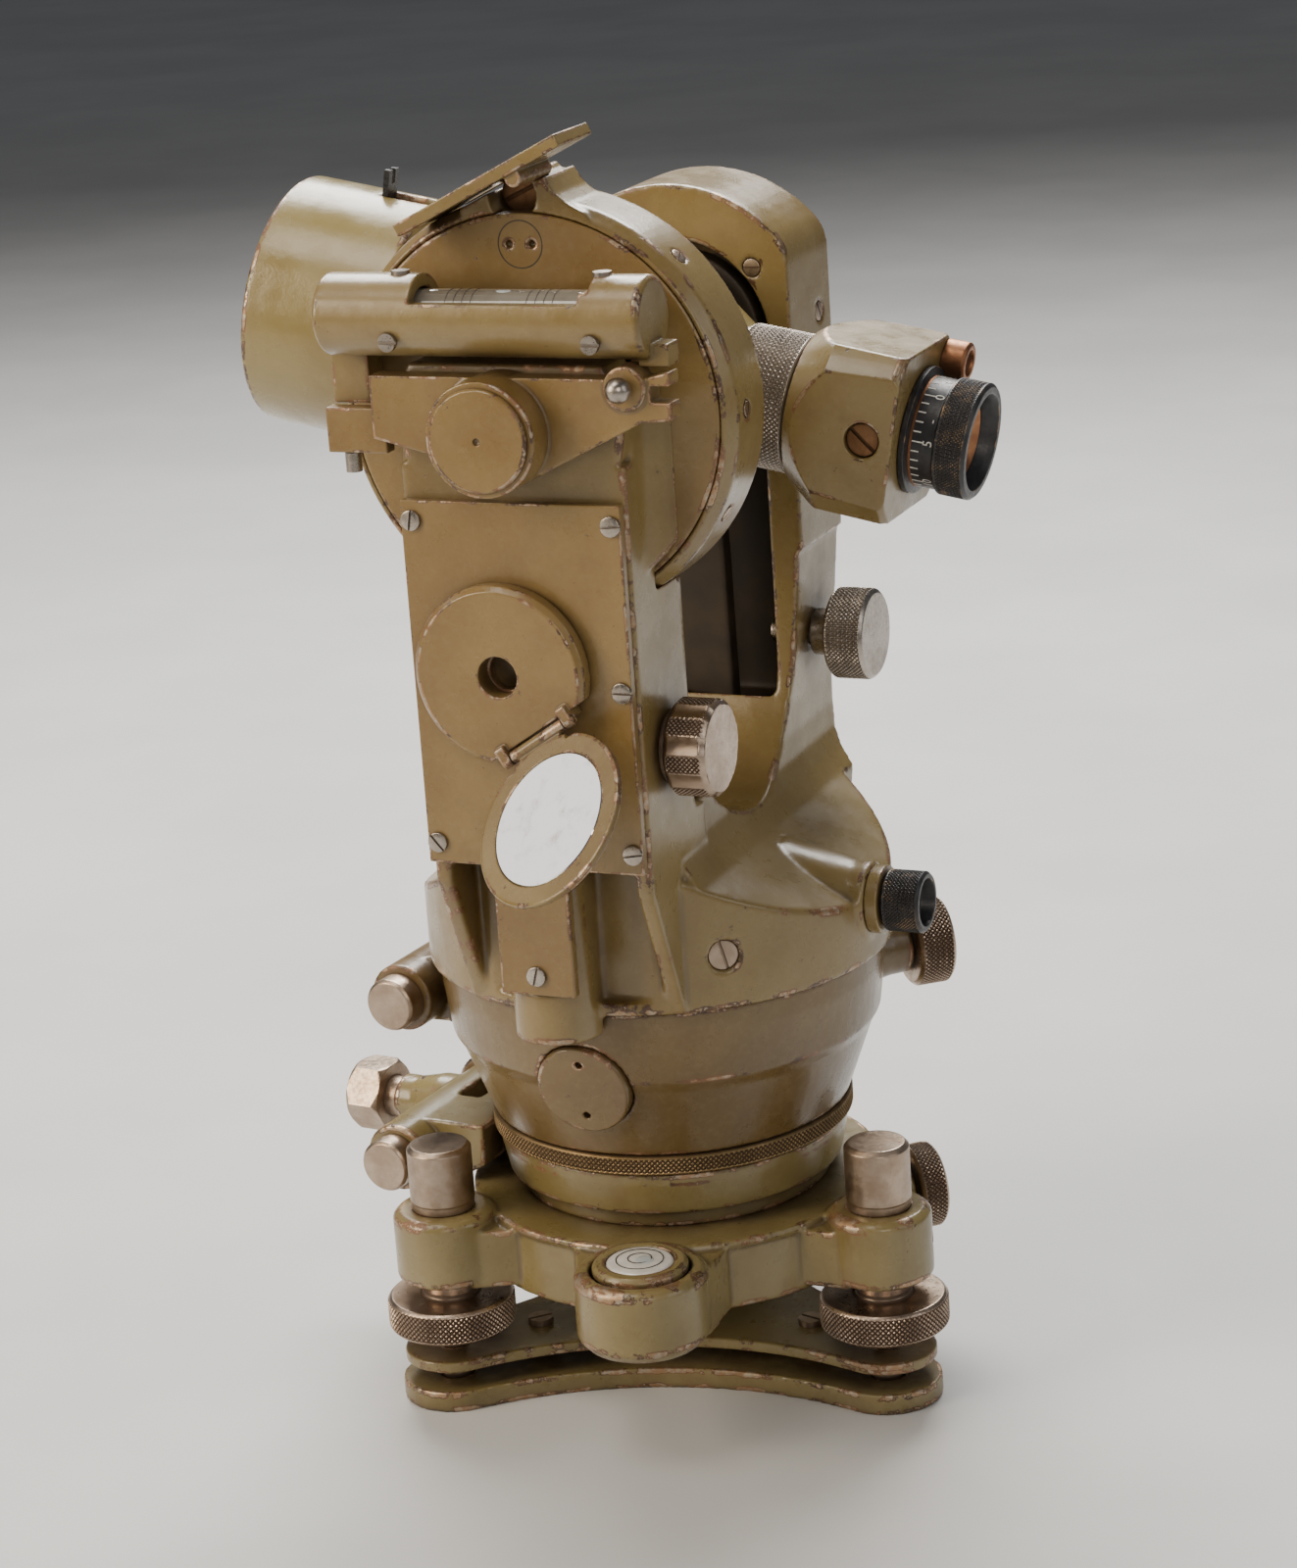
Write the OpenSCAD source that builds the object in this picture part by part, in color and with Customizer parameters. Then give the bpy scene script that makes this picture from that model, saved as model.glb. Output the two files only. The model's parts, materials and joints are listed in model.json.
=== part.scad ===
/* [Base] */
// radius from the vertical axis to each foot screw
foot_radius = 60; // [55:0.5:66]
// thickness of the three-lobed base plate
base_t = 5; // [4:0.1:7]
// underside height of the spring plate above the base plate underside
spring_plate_z = 9.6; // [8.5:0.1:11]
// thickness of the spring plate
spring_plate_t = 2.8; // [2:0.1:4]
// radius of the knurled foot-screw discs
foot_disc_r = 15.3; // [13:0.1:17]
// radius of the round tribrach deck
deck_r = 49.6; // [46:0.1:53]
// height of the tribrach deck
deck_z = 45.7; // [43:0.1:48]

/* [Axis stack] */
// height of the seam between limb housing and alidade
seam_z = 104.9; // [100:0.1:110]
// radius of the alidade skirt at the seam
skirt_r = 55.4; // [52:0.1:58]
// height of the axes of the upper slow-motion screw and clamp screw
upper_screw_z = 92.4; // [90:0.1:94]
// height of the axes of the lower slow-motion screw and clamp screw
lower_screw_z = 52.6; // [52:0.1:54]

/* [Standards and telescope] */
// height of the trunnion axis
trunnion_z = 242.5; // [238:0.5:247]
// half of the clear gap between the standards
gap_half = 30; // [29.5:0.1:31]
// radius of the vertical circle housing
circle_r = 46.6; // [44:0.1:48]
// radius of the objective hood
hood_r = 28.9; // [26:0.1:29.2]
// rest angle of the telescope, eyepiece end down
rest_tilt = 10.5; // [0:0.5:20]
// radius of the level tube
level_r = 8.9; // [7:0.1:10]
// length of the level tube
level_len = 76; // [70:0.5:80]

/* [Hidden] */
$fn = 96;
tz = trunnion_z;
lvl_a = -75.7;
clamp_a = 173.6;
knob_a = 39.8;
foot_a = [lvl_a - 60, lvl_a + 60, lvl_a + 180];
level_y = -64.4;
level_z = tz + 24.2;
level_x0 = -40;
disc_c = [-3.5, 0, 188.6];
hinge_v = 16.4;
hinge_a = -56.7;
flap_open = 46;

olive = [0.47, 0.43, 0.30];
brass = [0.72, 0.55, 0.33];
steel = [0.70, 0.68, 0.66];
nickel = [0.75, 0.68, 0.60];
black = [0.10, 0.10, 0.11];
glass = [0.80, 0.88, 0.90, 0.5];

// child +Z points to the front (-Y), child +Y points up
module front(x, y, z) { translate([x, y, z]) rotate([90, 0, 0]) children(); }
// child +Z points to the right (+X)
module right_of(x, y, z) { translate([x, y, z]) rotate([0, 90, 0]) children(); }
// child +Z runs along the telescope towards the eyepiece, child -X is up
module tele(s = 0) { translate([0, 0, tz]) rotate([0, 90 + rest_tilt, 0]) translate([0, 0, s]) children(); }
module foot(a) { rotate([0, 0, a]) translate([foot_radius, 0, 0]) children(); }
module tube(ro, ri, h) { difference() { cylinder(r = ro, h = h); translate([0, 0, -1]) cylinder(r = ri, h = h + 2); } }
// cylinder with a small bevel at its far end
module beveled(r, h, c) { rotate_extrude() polygon([[0, 0], [r, 0], [r, h - c], [r - c, h], [0, h]]); }
// cylinder with bevels at both ends
module knob_shape(r, h, c) { rotate_extrude() polygon([[0, 0], [r - c, 0], [r, c], [r, h - c], [r - c, h], [0, h]]); }
// slotted screw head with its top at +Z
module slot_head(r, h, w = 0.8) {
  difference() {
    cylinder(r = r, h = h, $fn = 48);
    translate([-r - 1, -w / 2, h - 0.6]) cube([2 * r + 2, w, 2]);
  }
}
// three lobes with inward-curved edges: rl lobe radius, w half-distance across the waist
module lobes2d(rl, w) {
  f = foot_radius; a = w - f / 2; q = 0.75 * f * f;
  rc = (a * a + q - rl * rl) / (2 * (rl - a)); d = rc + w;
  nx = (d - f / 2) / (rc + rl); ny = -f * sin(60) / (rc + rl);
  tx = f / 2 + rl * nx; ty = f * sin(60) + rl * ny;
  difference() {
    polygon([for (k = [0:2]) for (s = [-1, 1]) let (m = lvl_a + 120 * k)
      [tx * cos(m) - s * ty * sin(m), tx * sin(m) + s * ty * cos(m)]]);
    for (k = [0:2]) rotate([0, 0, lvl_a + 120 * k]) translate([d, 0, 0]) circle(r = rc, $fn = 200);
  }
  for (a = foot_a) rotate([0, 0, a]) translate([f, 0, 0]) circle(r = rl);
}

// ---------- base ----------
module base_plate() color(olive) difference() {
  linear_extrude(base_t) lobes2d(13, 29);
  translate([0, 0, -1]) cylinder(r = 7.94, h = base_t + 2);
  for (a = foot_a) foot(a) translate([0, 0, 7.3]) sphere(r = 4.95);
  for (a = foot_a) rotate([0, 0, a]) translate([38, 0, 1.2]) cylinder(r = 1.5, h = 6, $fn = 32);
}
module spring_plate() color(olive) difference() {
  translate([0, 0, spring_plate_z]) linear_extrude(spring_plate_t) lobes2d(12, 27);
  translate([0, 0, 5]) cylinder(r = 15, h = 12);
  for (a = foot_a) foot(a) { translate([0, 0, 7.3]) sphere(r = 4.95); cylinder(r = 3.2, h = 20, $fn = 48); }
  for (a = foot_a) rotate([0, 0, a]) translate([38, 0, 5]) cylinder(r = 1.5, h = 10, $fn = 32);
}
module plate_screws() for (a = foot_a) rotate([0, 0, a]) translate([38, 0, 0]) {
  translate([0, 0, 1.2]) cylinder(r = 1.5, h = 11.5, $fn = 32);
  translate([0, 0, base_t]) cylinder(r = 3.2, h = spring_plate_z - base_t, $fn = 48);
  translate([0, 0, spring_plate_z + spring_plate_t]) slot_head(3, 1.6);
}
module tribrach() color(olive) difference() {
  union() {
    translate([0, 0, 28.5]) cylinder(r = deck_r - 0.8, h = deck_z - 1.6 - 28.5);
    translate([0, 0, deck_z - 1.6]) cylinder(r = deck_r, h = 1.6);
    for (a = foot_a) {
      foot(a) translate([0, 0, 31]) rotate_extrude() polygon([[0, 0], [11.6, 0], [12.2, 0.6], [12.2, 15.6], [10.6, 17], [0, 17]]);
      rotate([0, 0, a]) translate([0, 0, 30]) linear_extrude(14) polygon([[38, -17], [58, -11], [58, 11], [38, 17]]);
    }
    rotate([0, 0, lvl_a]) {
      translate([61.4, 0, 28.5]) rotate_extrude() polygon([[0, 0], [13.4, 0], [15.5, 2.4], [15.5, 16.6], [14, 18], [0, 18]]);
      translate([0, 0, 28.5]) linear_extrude(15.5) polygon([[40, -19], [60, -15], [60, 15], [40, 19]]);
    }
    rotate([0, 0, 41.5]) right_of(40, -20, 36.8) cylinder(r = 7.4, h = 11.4);
  }
  translate([0, 0, 34]) cylinder(r = 36, h = 20);
  translate([0, 0, 20]) cylinder(r = 20, h = 30);
  for (a = foot_a) foot(a) {
    translate([0, 0, 20]) cylinder(r = 7, h = 40);
  }
  rotate([0, 0, lvl_a]) translate([61.4, 0, 40]) cylinder(r = 11.8, h = 10);
  rotate([0, 0, 41.5]) right_of(30, -20, 36.8) cylinder(r = 3.06, h = 30, $fn = 48);
  for (a = foot_a) foot(a) translate([0, 0, 39.5]) rotate([0, 90, a > 0 ? 0 : (a < -100 ? -72 : 40)]) cylinder(r = 1.9, h = 20, $fn = 32);
}
module foot_bushes() color(brass) for (a = foot_a) foot(a) translate([0, 0, 31]) tube(7, 4.06, 17);
module foot_screw() {
  rotate_extrude() polygon([[0, 7.3], [2.8, 7.3], [2.8, 18], [foot_disc_r - 0.9, 18], [foot_disc_r, 18.9], [foot_disc_r, 25.1],
    [foot_disc_r - 0.9, 26], [6.4, 26], [6.2, 30.7], [4, 30.7], [4, 58], [3.2, 59], [0, 59]]);
  translate([0, 0, 7.3]) sphere(r = 4.6);
}
module foot_screw_left() color(nickel) foot(foot_a[0]) foot_screw();
module foot_screw_right() color(nickel) foot(foot_a[1]) foot_screw();
module foot_screw_rear() color(nickel) foot(foot_a[2]) foot_screw();
module foot_caps() color(steel) for (a = foot_a) foot(a) translate([0, 0, 48]) difference() {
  beveled(7.7, 16, 1.1);
  translate([0, 0, -1]) cylinder(r = 5.6, h = 14);
  rotate([0, 90, a > 0 ? 0 : (a < -100 ? 60 : -70)]) translate([-2.6, 0, 5]) cylinder(r = 0.6, h = 4, $fn = 24);
}
module set_screws() for (a = foot_a) foot(a) translate([0, 0, 39.5]) rotate([0, 90, a > 0 ? 0 : (a < -100 ? -72 : 40)])
  translate([0, 0, 7.6]) slot_head(1.9, a < -100 ? 7 : 4.5);
module base_screws() color(steel) { plate_screws(); set_screws(); }
module circular_level_cup() color(olive) rotate([0, 0, lvl_a]) translate([61.4, 0, 40]) rotate_extrude()
  polygon([[0, 0], [6.5, 0], [6.5, 2], [9.5, 3], [9.5, 5.6], [11.1, 5.6], [11.1, 7.1], [10.2, 8.1], [8, 8.1], [8, 2.8], [0, 2.8]]);
module circular_level_vial() color(glass) rotate([0, 0, lvl_a]) translate([61.4, 0, 42.8]) rotate_extrude()
  polygon([[0, 0], [7.95, 0], [7.95, 5.3], [6, 5.7], [0, 5.9]]);
module lock_knob() color(nickel) rotate([0, 0, 41.5]) right_of(52, -20, 36.8) {
  knob_shape(10.4, 6.8, 0.8);
  translate([0, 0, -13]) cylinder(r = 3, h = 14, $fn = 48);
}

// ---------- centring base and lower clamp ----------
module base_ring() color(olive) difference() {
  rotate_extrude() polygon([[24, 34.2], [36, 34.2], [36, deck_z], [37.5, deck_z], [37.5, 50.1], [40.4, 50.1], [42, 58], [42, 60.6], [39, 60.6], [39, 63.4],
    [30, 63.4], [30, 49], [24, 49]]);
  rotate([0, 0, clamp_a]) right_of(20, 0, lower_screw_z) cylinder(r = 4.2, h = 30, $fn = 48);
}
module base_socket() color(steel) rotate_extrude() polygon([[13.06, 36], [17, 36], [17, 45], [23.9, 45], [23.9, 49], [29.9, 49], [29.9, 53], [18, 53], [16.8, 60], [16.8, 84], [13.06, 84]]);
module setting_ring() color(brass) translate([0, 0, 61]) rotate_extrude() polygon([[39.06, 0], [43.1, 0], [43.5, 0.4], [43.5, 4.2], [43.1, 4.6], [19.4, 4.6], [19.4, 29], [17.2, 29], [17.2, 2.8], [39.06, 2.8]]);
module clamp_bracket() color(olive) rotate([0, 0, clamp_a]) difference() {
  union() {
    translate([0, 27, 0]) rotate([90, 0, 0]) linear_extrude(36.4) polygon([[38, 50.3], [44, 47], [62, 47], [66, 50], [68, 55], [60, 60.2], [46, 60.4], [38, 60.4]]);
    translate([58, -9.4, lower_screw_z]) rotate([-90, 0, 0]) cylinder(r = 8.3, h = 44.4);
    right_of(60, 0, lower_screw_z) rotate_extrude() polygon([[0, 0], [7.6, 0], [7.6, 6], [6, 13], [6, 17.6], [0, 17.6]]);
  }
  translate([0, 0, 40]) cylinder(r = 42, h = 20.6);
  translate([0, 0, 60]) cylinder(r = 44, h = 10);
  translate([0, 0, 40]) cylinder(r = 40.5, h = 10.1);
  translate([58, -10, lower_screw_z]) rotate([-90, 0, 0]) cylinder(r = 3.06, h = 60, $fn = 48);
  translate([58, 12, lower_screw_z]) rotate([-90, 0, 0]) cylinder(r = 4.6, h = 60, $fn = 48);
  right_of(38, 0, lower_screw_z) cylinder(r = 3.06, h = 14, $fn = 48);
  right_of(64, 0, lower_screw_z) cylinder(r = 3.06, h = 30, $fn = 48);
  translate([49, -20, 45]) cube([6, 30, 20]);
}
module clamp_screw_hex() color(nickel) rotate([0, 0, clamp_a]) right_of(0, 0, lower_screw_z) {
  translate([0, 0, 66.8]) cylinder(r = 3, h = 14, $fn = 48);
  translate([0, 0, 78]) cylinder(r = 5, h = 3.2, $fn = 48);
  translate([0, 0, 81]) intersection() {
    cylinder(r = 9.4, h = 9.4, $fn = 6);
    rotate_extrude() polygon([[0, 0], [8.2, 0], [9.5, 1.6], [9.5, 8], [8.2, 9.4], [0, 9.4]]);
  }
  translate([-5.8, 0, 79.6]) rotate([0, 90, 0]) cylinder(r = 0.9, h = 3, $fn = 24);
}
module tangent_screw(x, y, z, l) rotate([0, 0, clamp_a]) translate([x, y, z]) rotate([90, 0, 0]) {
  knob_shape(10.4, 8.5, 0.8);
  translate([0, 0, -l]) cylinder(r = 3, h = l + 1, $fn = 48);
}
module spring_and_plunger(x, y, z, l) rotate([0, 0, clamp_a]) translate([x, y, z]) rotate([-90, 0, 0]) {
  cylinder(r = 4.4, h = 2.4, $fn = 48);
  translate([0, 0, 3]) linear_extrude(height = l, twist = -360 * 6, slices = 84, $fn = 8) translate([3.2, 0]) circle(r = 0.65, $fn = 8);
}
module lower_tangent_screw() color(nickel) tangent_screw(58, -9.8, lower_screw_z, 19);
module lower_tangent_spring() color(steel) spring_and_plunger(58, 13, lower_screw_z, 18);
module lower_tangent_cap() color(steel) rotate([0, 0, clamp_a]) translate([58, 35, lower_screw_z]) rotate([-90, 0, 0]) beveled(6.4, 5.9, 0.7);

// ---------- limb ----------
module lower_housing() color(olive) difference() {
  union() {
    rotate_extrude() polygon([[20.4, 66], [43, 66], [49.6, 84], [51.4, 87], [52.9, 99], [52.9, seam_z - 0.3], [20.4, seam_z - 0.3]]);
    rotate([0, 0, clamp_a]) {
      translate([56, -27.8, upper_screw_z]) rotate([-90, 0, 0]) cylinder(r = 8.3, h = 57.8);
      translate([0, 22, 0]) rotate([90, 0, 0]) linear_extrude(30) polygon([[44, 84.5], [56, 84.5], [56, upper_screw_z + 8], [44, upper_screw_z + 9]]);
    }
    rotate([0, 0, knob_a]) right_of(46, 0, upper_screw_z) rotate_extrude() polygon([[0, 0], [9.2, 0], [7, 10], [6.8, 15.2], [0, 15.2]]);
  }
  translate([0, 0, 90]) cylinder(r = 48, h = 20);
  translate([0, 0, 67.6]) rotate_extrude() polygon([[0, 0], [40, 0], [46.6, 18.4], [0, 18.4]]);
  translate([0, 0, 60]) cylinder(r = 20.4, h = 10);
  translate([0, 0, 80]) cylinder(r = 20.4, h = 20);
  rotate([0, 0, clamp_a]) {
    translate([56, -30, upper_screw_z]) rotate([-90, 0, 0]) cylinder(r = 3.06, h = 39, $fn = 48);
    translate([56, 8, upper_screw_z]) rotate([-90, 0, 0]) cylinder(r = 4.6, h = 60, $fn = 48);
  }
  rotate([0, 0, knob_a]) right_of(47, 0, upper_screw_z) cylinder(r = 3.06, h = 40, $fn = 48);
  translate([0, -45.4, 86]) rotate([90 + 12, 0, 0]) cylinder(r = 11.4, h = 20);
}
module limb_sleeve() color(brass) translate([0, 0, 66]) tube(13, 9.06, 24);
module two_hole_cover() color(olive) translate([0, -45.4, 86]) rotate([90 + 12, 0, 0]) difference() {
  rotate_extrude() polygon([[0, 0], [11.3, 0], [11.3, 5.2], [10.9, 5.8], [0, 5.8]]);
  for (s = [-1, 1]) translate([0, 6.8 * s, 4]) cylinder(r = 0.9, h = 4, $fn = 24);
}
module horizontal_circle() color(glass) translate([0, 0, 90]) difference() {
  union() { cylinder(r = 20, h = 6); translate([0, 0, 6]) cylinder(r = 46, h = 3); }
  translate([0, 0, -1]) cylinder(r = 9.8, h = 20);
}
module upper_clamp_knob() color(nickel) rotate([0, 0, knob_a]) right_of(61.8, 0, upper_screw_z) {
  knob_shape(10.7, 9.2, 0.9);
  translate([0, 0, -13]) cylinder(r = 3, h = 14, $fn = 48);
}
module upper_tangent_screw() color(nickel) tangent_screw(56, -28.2, upper_screw_z, 34);
module upper_tangent_spring() color(steel) spring_and_plunger(56, 9, upper_screw_z, 17);
module upper_tangent_cap() color(steel) rotate([0, 0, clamp_a]) translate([56, 30, upper_screw_z]) rotate([-90, 0, 0]) beveled(6.4, 5.7, 0.7);

// ---------- alidade ----------
module near_column2d() polygon([[-26.4, 104.9], [-26.4, 238], [26.4, 238], [26.4, 104.9]]);
module waist2d(m) polygon(concat(
  [for (p = [[31, 112], [31, 133], [27.6, 137.4], [25.6, 142], [24.8, 148], [25, 155], [26.4, 170], [28, 188], [29.5, 206]]) [p[1] > 150 ? min(m, p[0]) : p[0], p[1]]],
  [for (p = [[29.5, 206], [28, 188], [26.4, 170], [25, 155], [24.8, 148], [25.6, 142], [27.6, 137.4], [31, 133], [31, 112]]) [p[1] > 150 ? -min(m, p[0]) : -p[0], p[1]]]));
module arch2d(r, w, c) polygon(concat([[-w, -50], [w, -50]],
  [for (k = [0:10]) let (a = acos((w - c) / (r - c)) * k / 10) [w - c + c * cos(a), (r - c) * sin(acos((w - c) / (r - c))) + c * sin(a)]],
  [for (k = [1:19]) let (b = acos((w - c) / (r - c)), a = b + (180 - 2 * b) * k / 20) [r * cos(a), r * sin(a)]],
  [for (k = [10:-1:0]) let (a = acos((w - c) / (r - c)) * k / 10) [-(w - c + c * cos(a)), (r - c) * sin(acos((w - c) / (r - c))) + c * sin(a)]]));
module alidade_casting() color(olive) difference() {
  union() {
    // round drum under a ridged roof
    intersection() {
      translate([0, 0, seam_z]) cylinder(r = skirt_r, h = 60);
      translate([0, 70, 0]) rotate([90, 0, 0]) linear_extrude(140) polygon([[-60, 100], [60, 100], [60, 117], [21.6, 138.8], [-21.6, 138.8], [-60, 117]]);
    }
    // waist of the two standards
    translate([0, 46.5, 0]) rotate([90, 0, 0]) linear_extrude(46.5) waist2d(29.5);
    translate([0, 1, 0]) rotate([90, 0, 0]) linear_extrude(47) waist2d(26.4);
    intersection() {
      translate([0, 58, 0]) rotate([90, 0, 0]) linear_extrude(30) waist2d(29.5);
      translate([-40, 0, 0]) rotate([90, 0, 90]) linear_extrude(80) polygon([[28, 112], [46.5, 112], [58, 146], [58, 206], [28, 206]]);
    }
    // near standard
    translate([-26.4, -63.4, 138]) cube([52.8, 63.4 - gap_half - 1, 96]);
    translate([-26.4, -50.2, 120]) cube([52.8, 19.2, 30]);
    for (s = [-1, 1]) translate([s * 24.4 - 2, 0, 0]) rotate([90, 0, 90]) linear_extrude(4) polygon([[-44, seam_z], [-49.4, seam_z], [-63.4, 138], [-63.4, 150], [-40, 150]]);
    front(0, -51, tz) cylinder(r = 26.4, h = 12.4);
    front(0, -62, tz) cylinder(r = 5, h = 13.6);
    // fillets between the near standard and the circle cover
    intersection() {
      for (s = [-1, 1]) translate([0, 0, 200]) linear_extrude(44) polygon([for (p = concat([[26, -50.3], [26, -58.5]], [for (k = [0:6]) [26.4 + 7 - 7 * cos(15 * k), -50.3 - 7 + 7 * sin(15 * k)]])) [s * p[0], p[1]]]);
      front(0, -50.3, tz) cylinder(r = 42.5, h = 10);
    }
    // light tube under the panel, and its rounded lower end
    translate([-2.4, -54.6, 100.6]) cylinder(r = 10.2, h = 12.6);
    intersection() {
      translate([-2.4, -54.6, 113]) cylinder(r = 10.2, h = 32);
      translate([-20, -63.4, 112]) cube([40, 20, 40]);
    }
    // far standard
    front(0, 58, tz) linear_extrude(28) arch2d(36.8, 29.5, 11);
    // plummet boss
    translate([0, -3, 119]) rotate([0, 90, 0]) translate([0, 0, 34]) rotate_extrude() polygon([[0, 0], [13.5, 0], [8.8, 17.5], [8.8, 21.6], [0, 21.6]]);
  }
  // room in front of the level tube, and round the lower housing
  translate([-30, -64, 255.8]) cube([60, 12.9, 20]);
  translate([0, 0, 98]) cylinder(r = 53.4, h = seam_z - 98);
  // rounded inner corners of the near and far standards
  for (s = [-1, 1]) {
    difference() {
      translate([s * 22.4 - 5, -40, 150]) cube([10, 12, 90]);
      translate([s * 17.9, -38.5, 140]) cylinder(r = 8.5, h = 110);
      translate([-17.9, -41, 140]) cube([35.8, 20, 110]);
      translate([-30, -45, 140]) cube([60, 6.5, 110]);
    }
  }
  // drum cavity
  translate([0, 0, seam_z - 1]) cylinder(r = 50.4, h = 9.2);
  // valley between the standards
  right_of(-70, 0, 139 + gap_half) cylinder(r = gap_half, h = 140);
  translate([-70, -gap_half, 139 + gap_half]) cube([140, 2 * gap_half, 140]);
  // room for the swing of the hood
  front(0, 29.2, tz) cylinder(r = 84, h = 58.4);
  // spindle seat
  translate([0, 0, 100]) cylinder(r = 12, h = 24);
  // recesses beside the tongue
  translate([-22.4, -70, 108]) cube([10.4, 18.4, 34.5]);
  translate([7.2, -70, 108]) cube([15.2, 18.4, 34.5]);
  // hollow near standard
  translate([-20, -59, 146]) cube([40, 22, 76]);
  // trunnion bores
  front(0, 60, tz) cylinder(r = 8.96, h = 120);
  // circle housing seat
  front(0, -31, tz) cylinder(r = circle_r + 0.0, h = 19.3);
  // index knob and elevation knob bores
  right_of(10, -48, 168) cylinder(r = 3.06, h = 30, $fn = 48);
  right_of(10, 43, 169.4) cylinder(r = 3.06, h = 30, $fn = 48);
  // hollow far standard with the pocket of the elevation arm
  translate([-21.4, 28, 151]) cube([42.8, 26, 67.1]);
  translate([-12, 29, 218]) cube([24, 8.4, 40]);
  front(0, 37.4, tz) cylinder(r = 24, h = 10);
  // far cover seat
  front(0, 60, tz) cylinder(r = 24, h = 6);
  // panel seat screw holes
  for (p = [[-23.6, 221.8], [23.6, 221.8], [23.6, 185], [-23.6, 148.2], [23.6, 148.2], [-2, 118]]) front(p[0], -58, p[1]) cylinder(r = 1.4, h = 8, $fn = 24);
  // side screw, plug and far screws
  rotate([0, 0, -52]) right_of(50, 0, 117.6) cylinder(r = 3.6, h = 8, $fn = 48);
  right_of(24, 50, 246) cylinder(r = 2.4, h = 8, $fn = 32);
  for (a = [40, 160, 335]) front(27 * cos(a), 34, tz + 27 * sin(a)) cylinder(r = 2.2, h = 8, $fn = 32);
  // plummet bore
  translate([0, -3, 119]) rotate([0, 90, 0]) translate([0, 0, 16]) cylinder(r = 5, h = 60);
}
module axis_spindle() color(steel) difference() {
  rotate_extrude() polygon([[3.5, 60], [9, 60], [9, 100.5], [11.9, 102], [11.9, 123.8], [3.5, 123.8]]);
}
module body_screws() {
  rotate([0, 0, -52]) right_of(51, 0, 117.6) slot_head(3.5, 3.6, 0.9);
  right_of(24.4, 50, 246) slot_head(2.3, 4.9);
  for (a = [40, 160, 335]) front(27 * cos(a), 33.6, tz + 27 * sin(a)) slot_head(2.1, 3.5);
}
module plummet_tube() color(olive) translate([55.6, -3, 119]) rotate([0, 90, 0]) {
  tube(8, 5, 3);
  translate([0, 0, -34]) tube(4.96, 4, 37);
}
module plummet_eyepiece() color(black) translate([58.8, -3, 119]) rotate([0, 90, 0]) rotate_extrude()
  polygon([[2, 0], [6.1, 0], [7.2, 0.8], [7.2, 9], [6.6, 9.6], [5.6, 9.6], [4, 6], [2, 6]]);
module circle_housing() color(olive) difference() {
  union() {
    front(0, -31.1, tz) rotate_extrude() polygon([[0, 0], [circle_r, 0], [circle_r, 15.6], [44.5, 19.2], [0, 19.2]]);
    // raised lug carrying the reader plate
    translate([0, -33, 0]) rotate([90, 0, 0]) linear_extrude(17) polygon([[-14, 286.8], [-8, 289.7], [0, 293.6], [2.6, 294.9], [5.4, 294.7], [6.2, 293.8], [7.2, 292.2], [8.8, 290], [11.5, 287.8], [15, 286], [20, 280], [-14, 280]]);
  }
  front(0, -34, tz) cylinder(r = 40, h = 12.6);
  front(0, -20, tz) cylinder(r = 14, h = 40);
  front(0, -45, tz) cylinder(r = 43.6, h = 10);
  // recess under the reader plate
  translate([0, -42.5, 0]) rotate([90, 0, 0]) translate([-1.4, 289.6, 0]) cylinder(r = 5.6, h = 10);
  // cradle of the reader plate's hinge knuckle
  translate([4.5, -30, 295]) rotate([90, 0, 0]) cylinder(r = 1.95, h = 24, $fn = 48);
  for (p = [[47, 45], [47, 0], [47, 135], [47, 200], [47, 330]]) front(0, -41.5, tz) rotate([0, 90, 0]) rotate([-p[1], 0, 0]) translate([0, 0, 42]) cylinder(r = 1.9, h = 8, $fn = 32);
}
module circle_cover() color(olive) difference() {
  union() {
    front(0, -45.1, tz) cylinder(r = 43.5, h = 5.2);
  }
  front(0, -40, tz) cylinder(r = 26.5, h = 20);
  front(0, -49.4, tz + 36.8) tube(5.3, 5.0, 4);
  for (s = [-1, 1]) front(2.7 * s, -49, tz + 36.8) cylinder(r = 0.8, h = 4, $fn = 24);
}
module rim_screws() for (a = [45, 0, 135, 200, 330])
  front(0, -41.5, tz) rotate([0, 90, 0]) rotate([-a, 0, 0]) translate([0, 0, 42.2]) slot_head(1.8, 4.7);
module vertical_circle() color(glass) front(0, -36.4, tz) tube(36, 9, 3.2);
module near_panel() color(olive) difference() {
  union() {
    translate([-26.2, -66, 143.4]) cube([52, 2.6, 82.8]);
    translate([-10.9, -66, 113.4]) cube([18, 2.6, 31]);
  }
  front(disc_c[0], -60, disc_c[2]) cylinder(r = 4.2, h = 10);
  for (p = [[-23.6, 221.8], [23.6, 221.8], [23.6, 185], [-23.6, 148.2], [23.6, 148.2], [-2, 118]]) front(p[0], -60, p[1]) cylinder(r = 1.4, h = 8, $fn = 24);
}
module front_screws() for (p = [[-23.6, 221.8, 80], [23.6, 221.8, 5], [23.6, 185, 0], [-23.6, 148.2, -50], [23.6, 148.2, 10], [-2, 118, 75]])
  front(p[0], -58.4, p[1]) { cylinder(r = 1.35, h = 7.6, $fn = 24); translate([0, 0, 7.6]) rotate([0, 0, p[2]]) slot_head(2.3, 1, 0.7); }
module alidade_screws() color(steel) { body_screws(); rim_screws(); front_screws(); }
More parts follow.
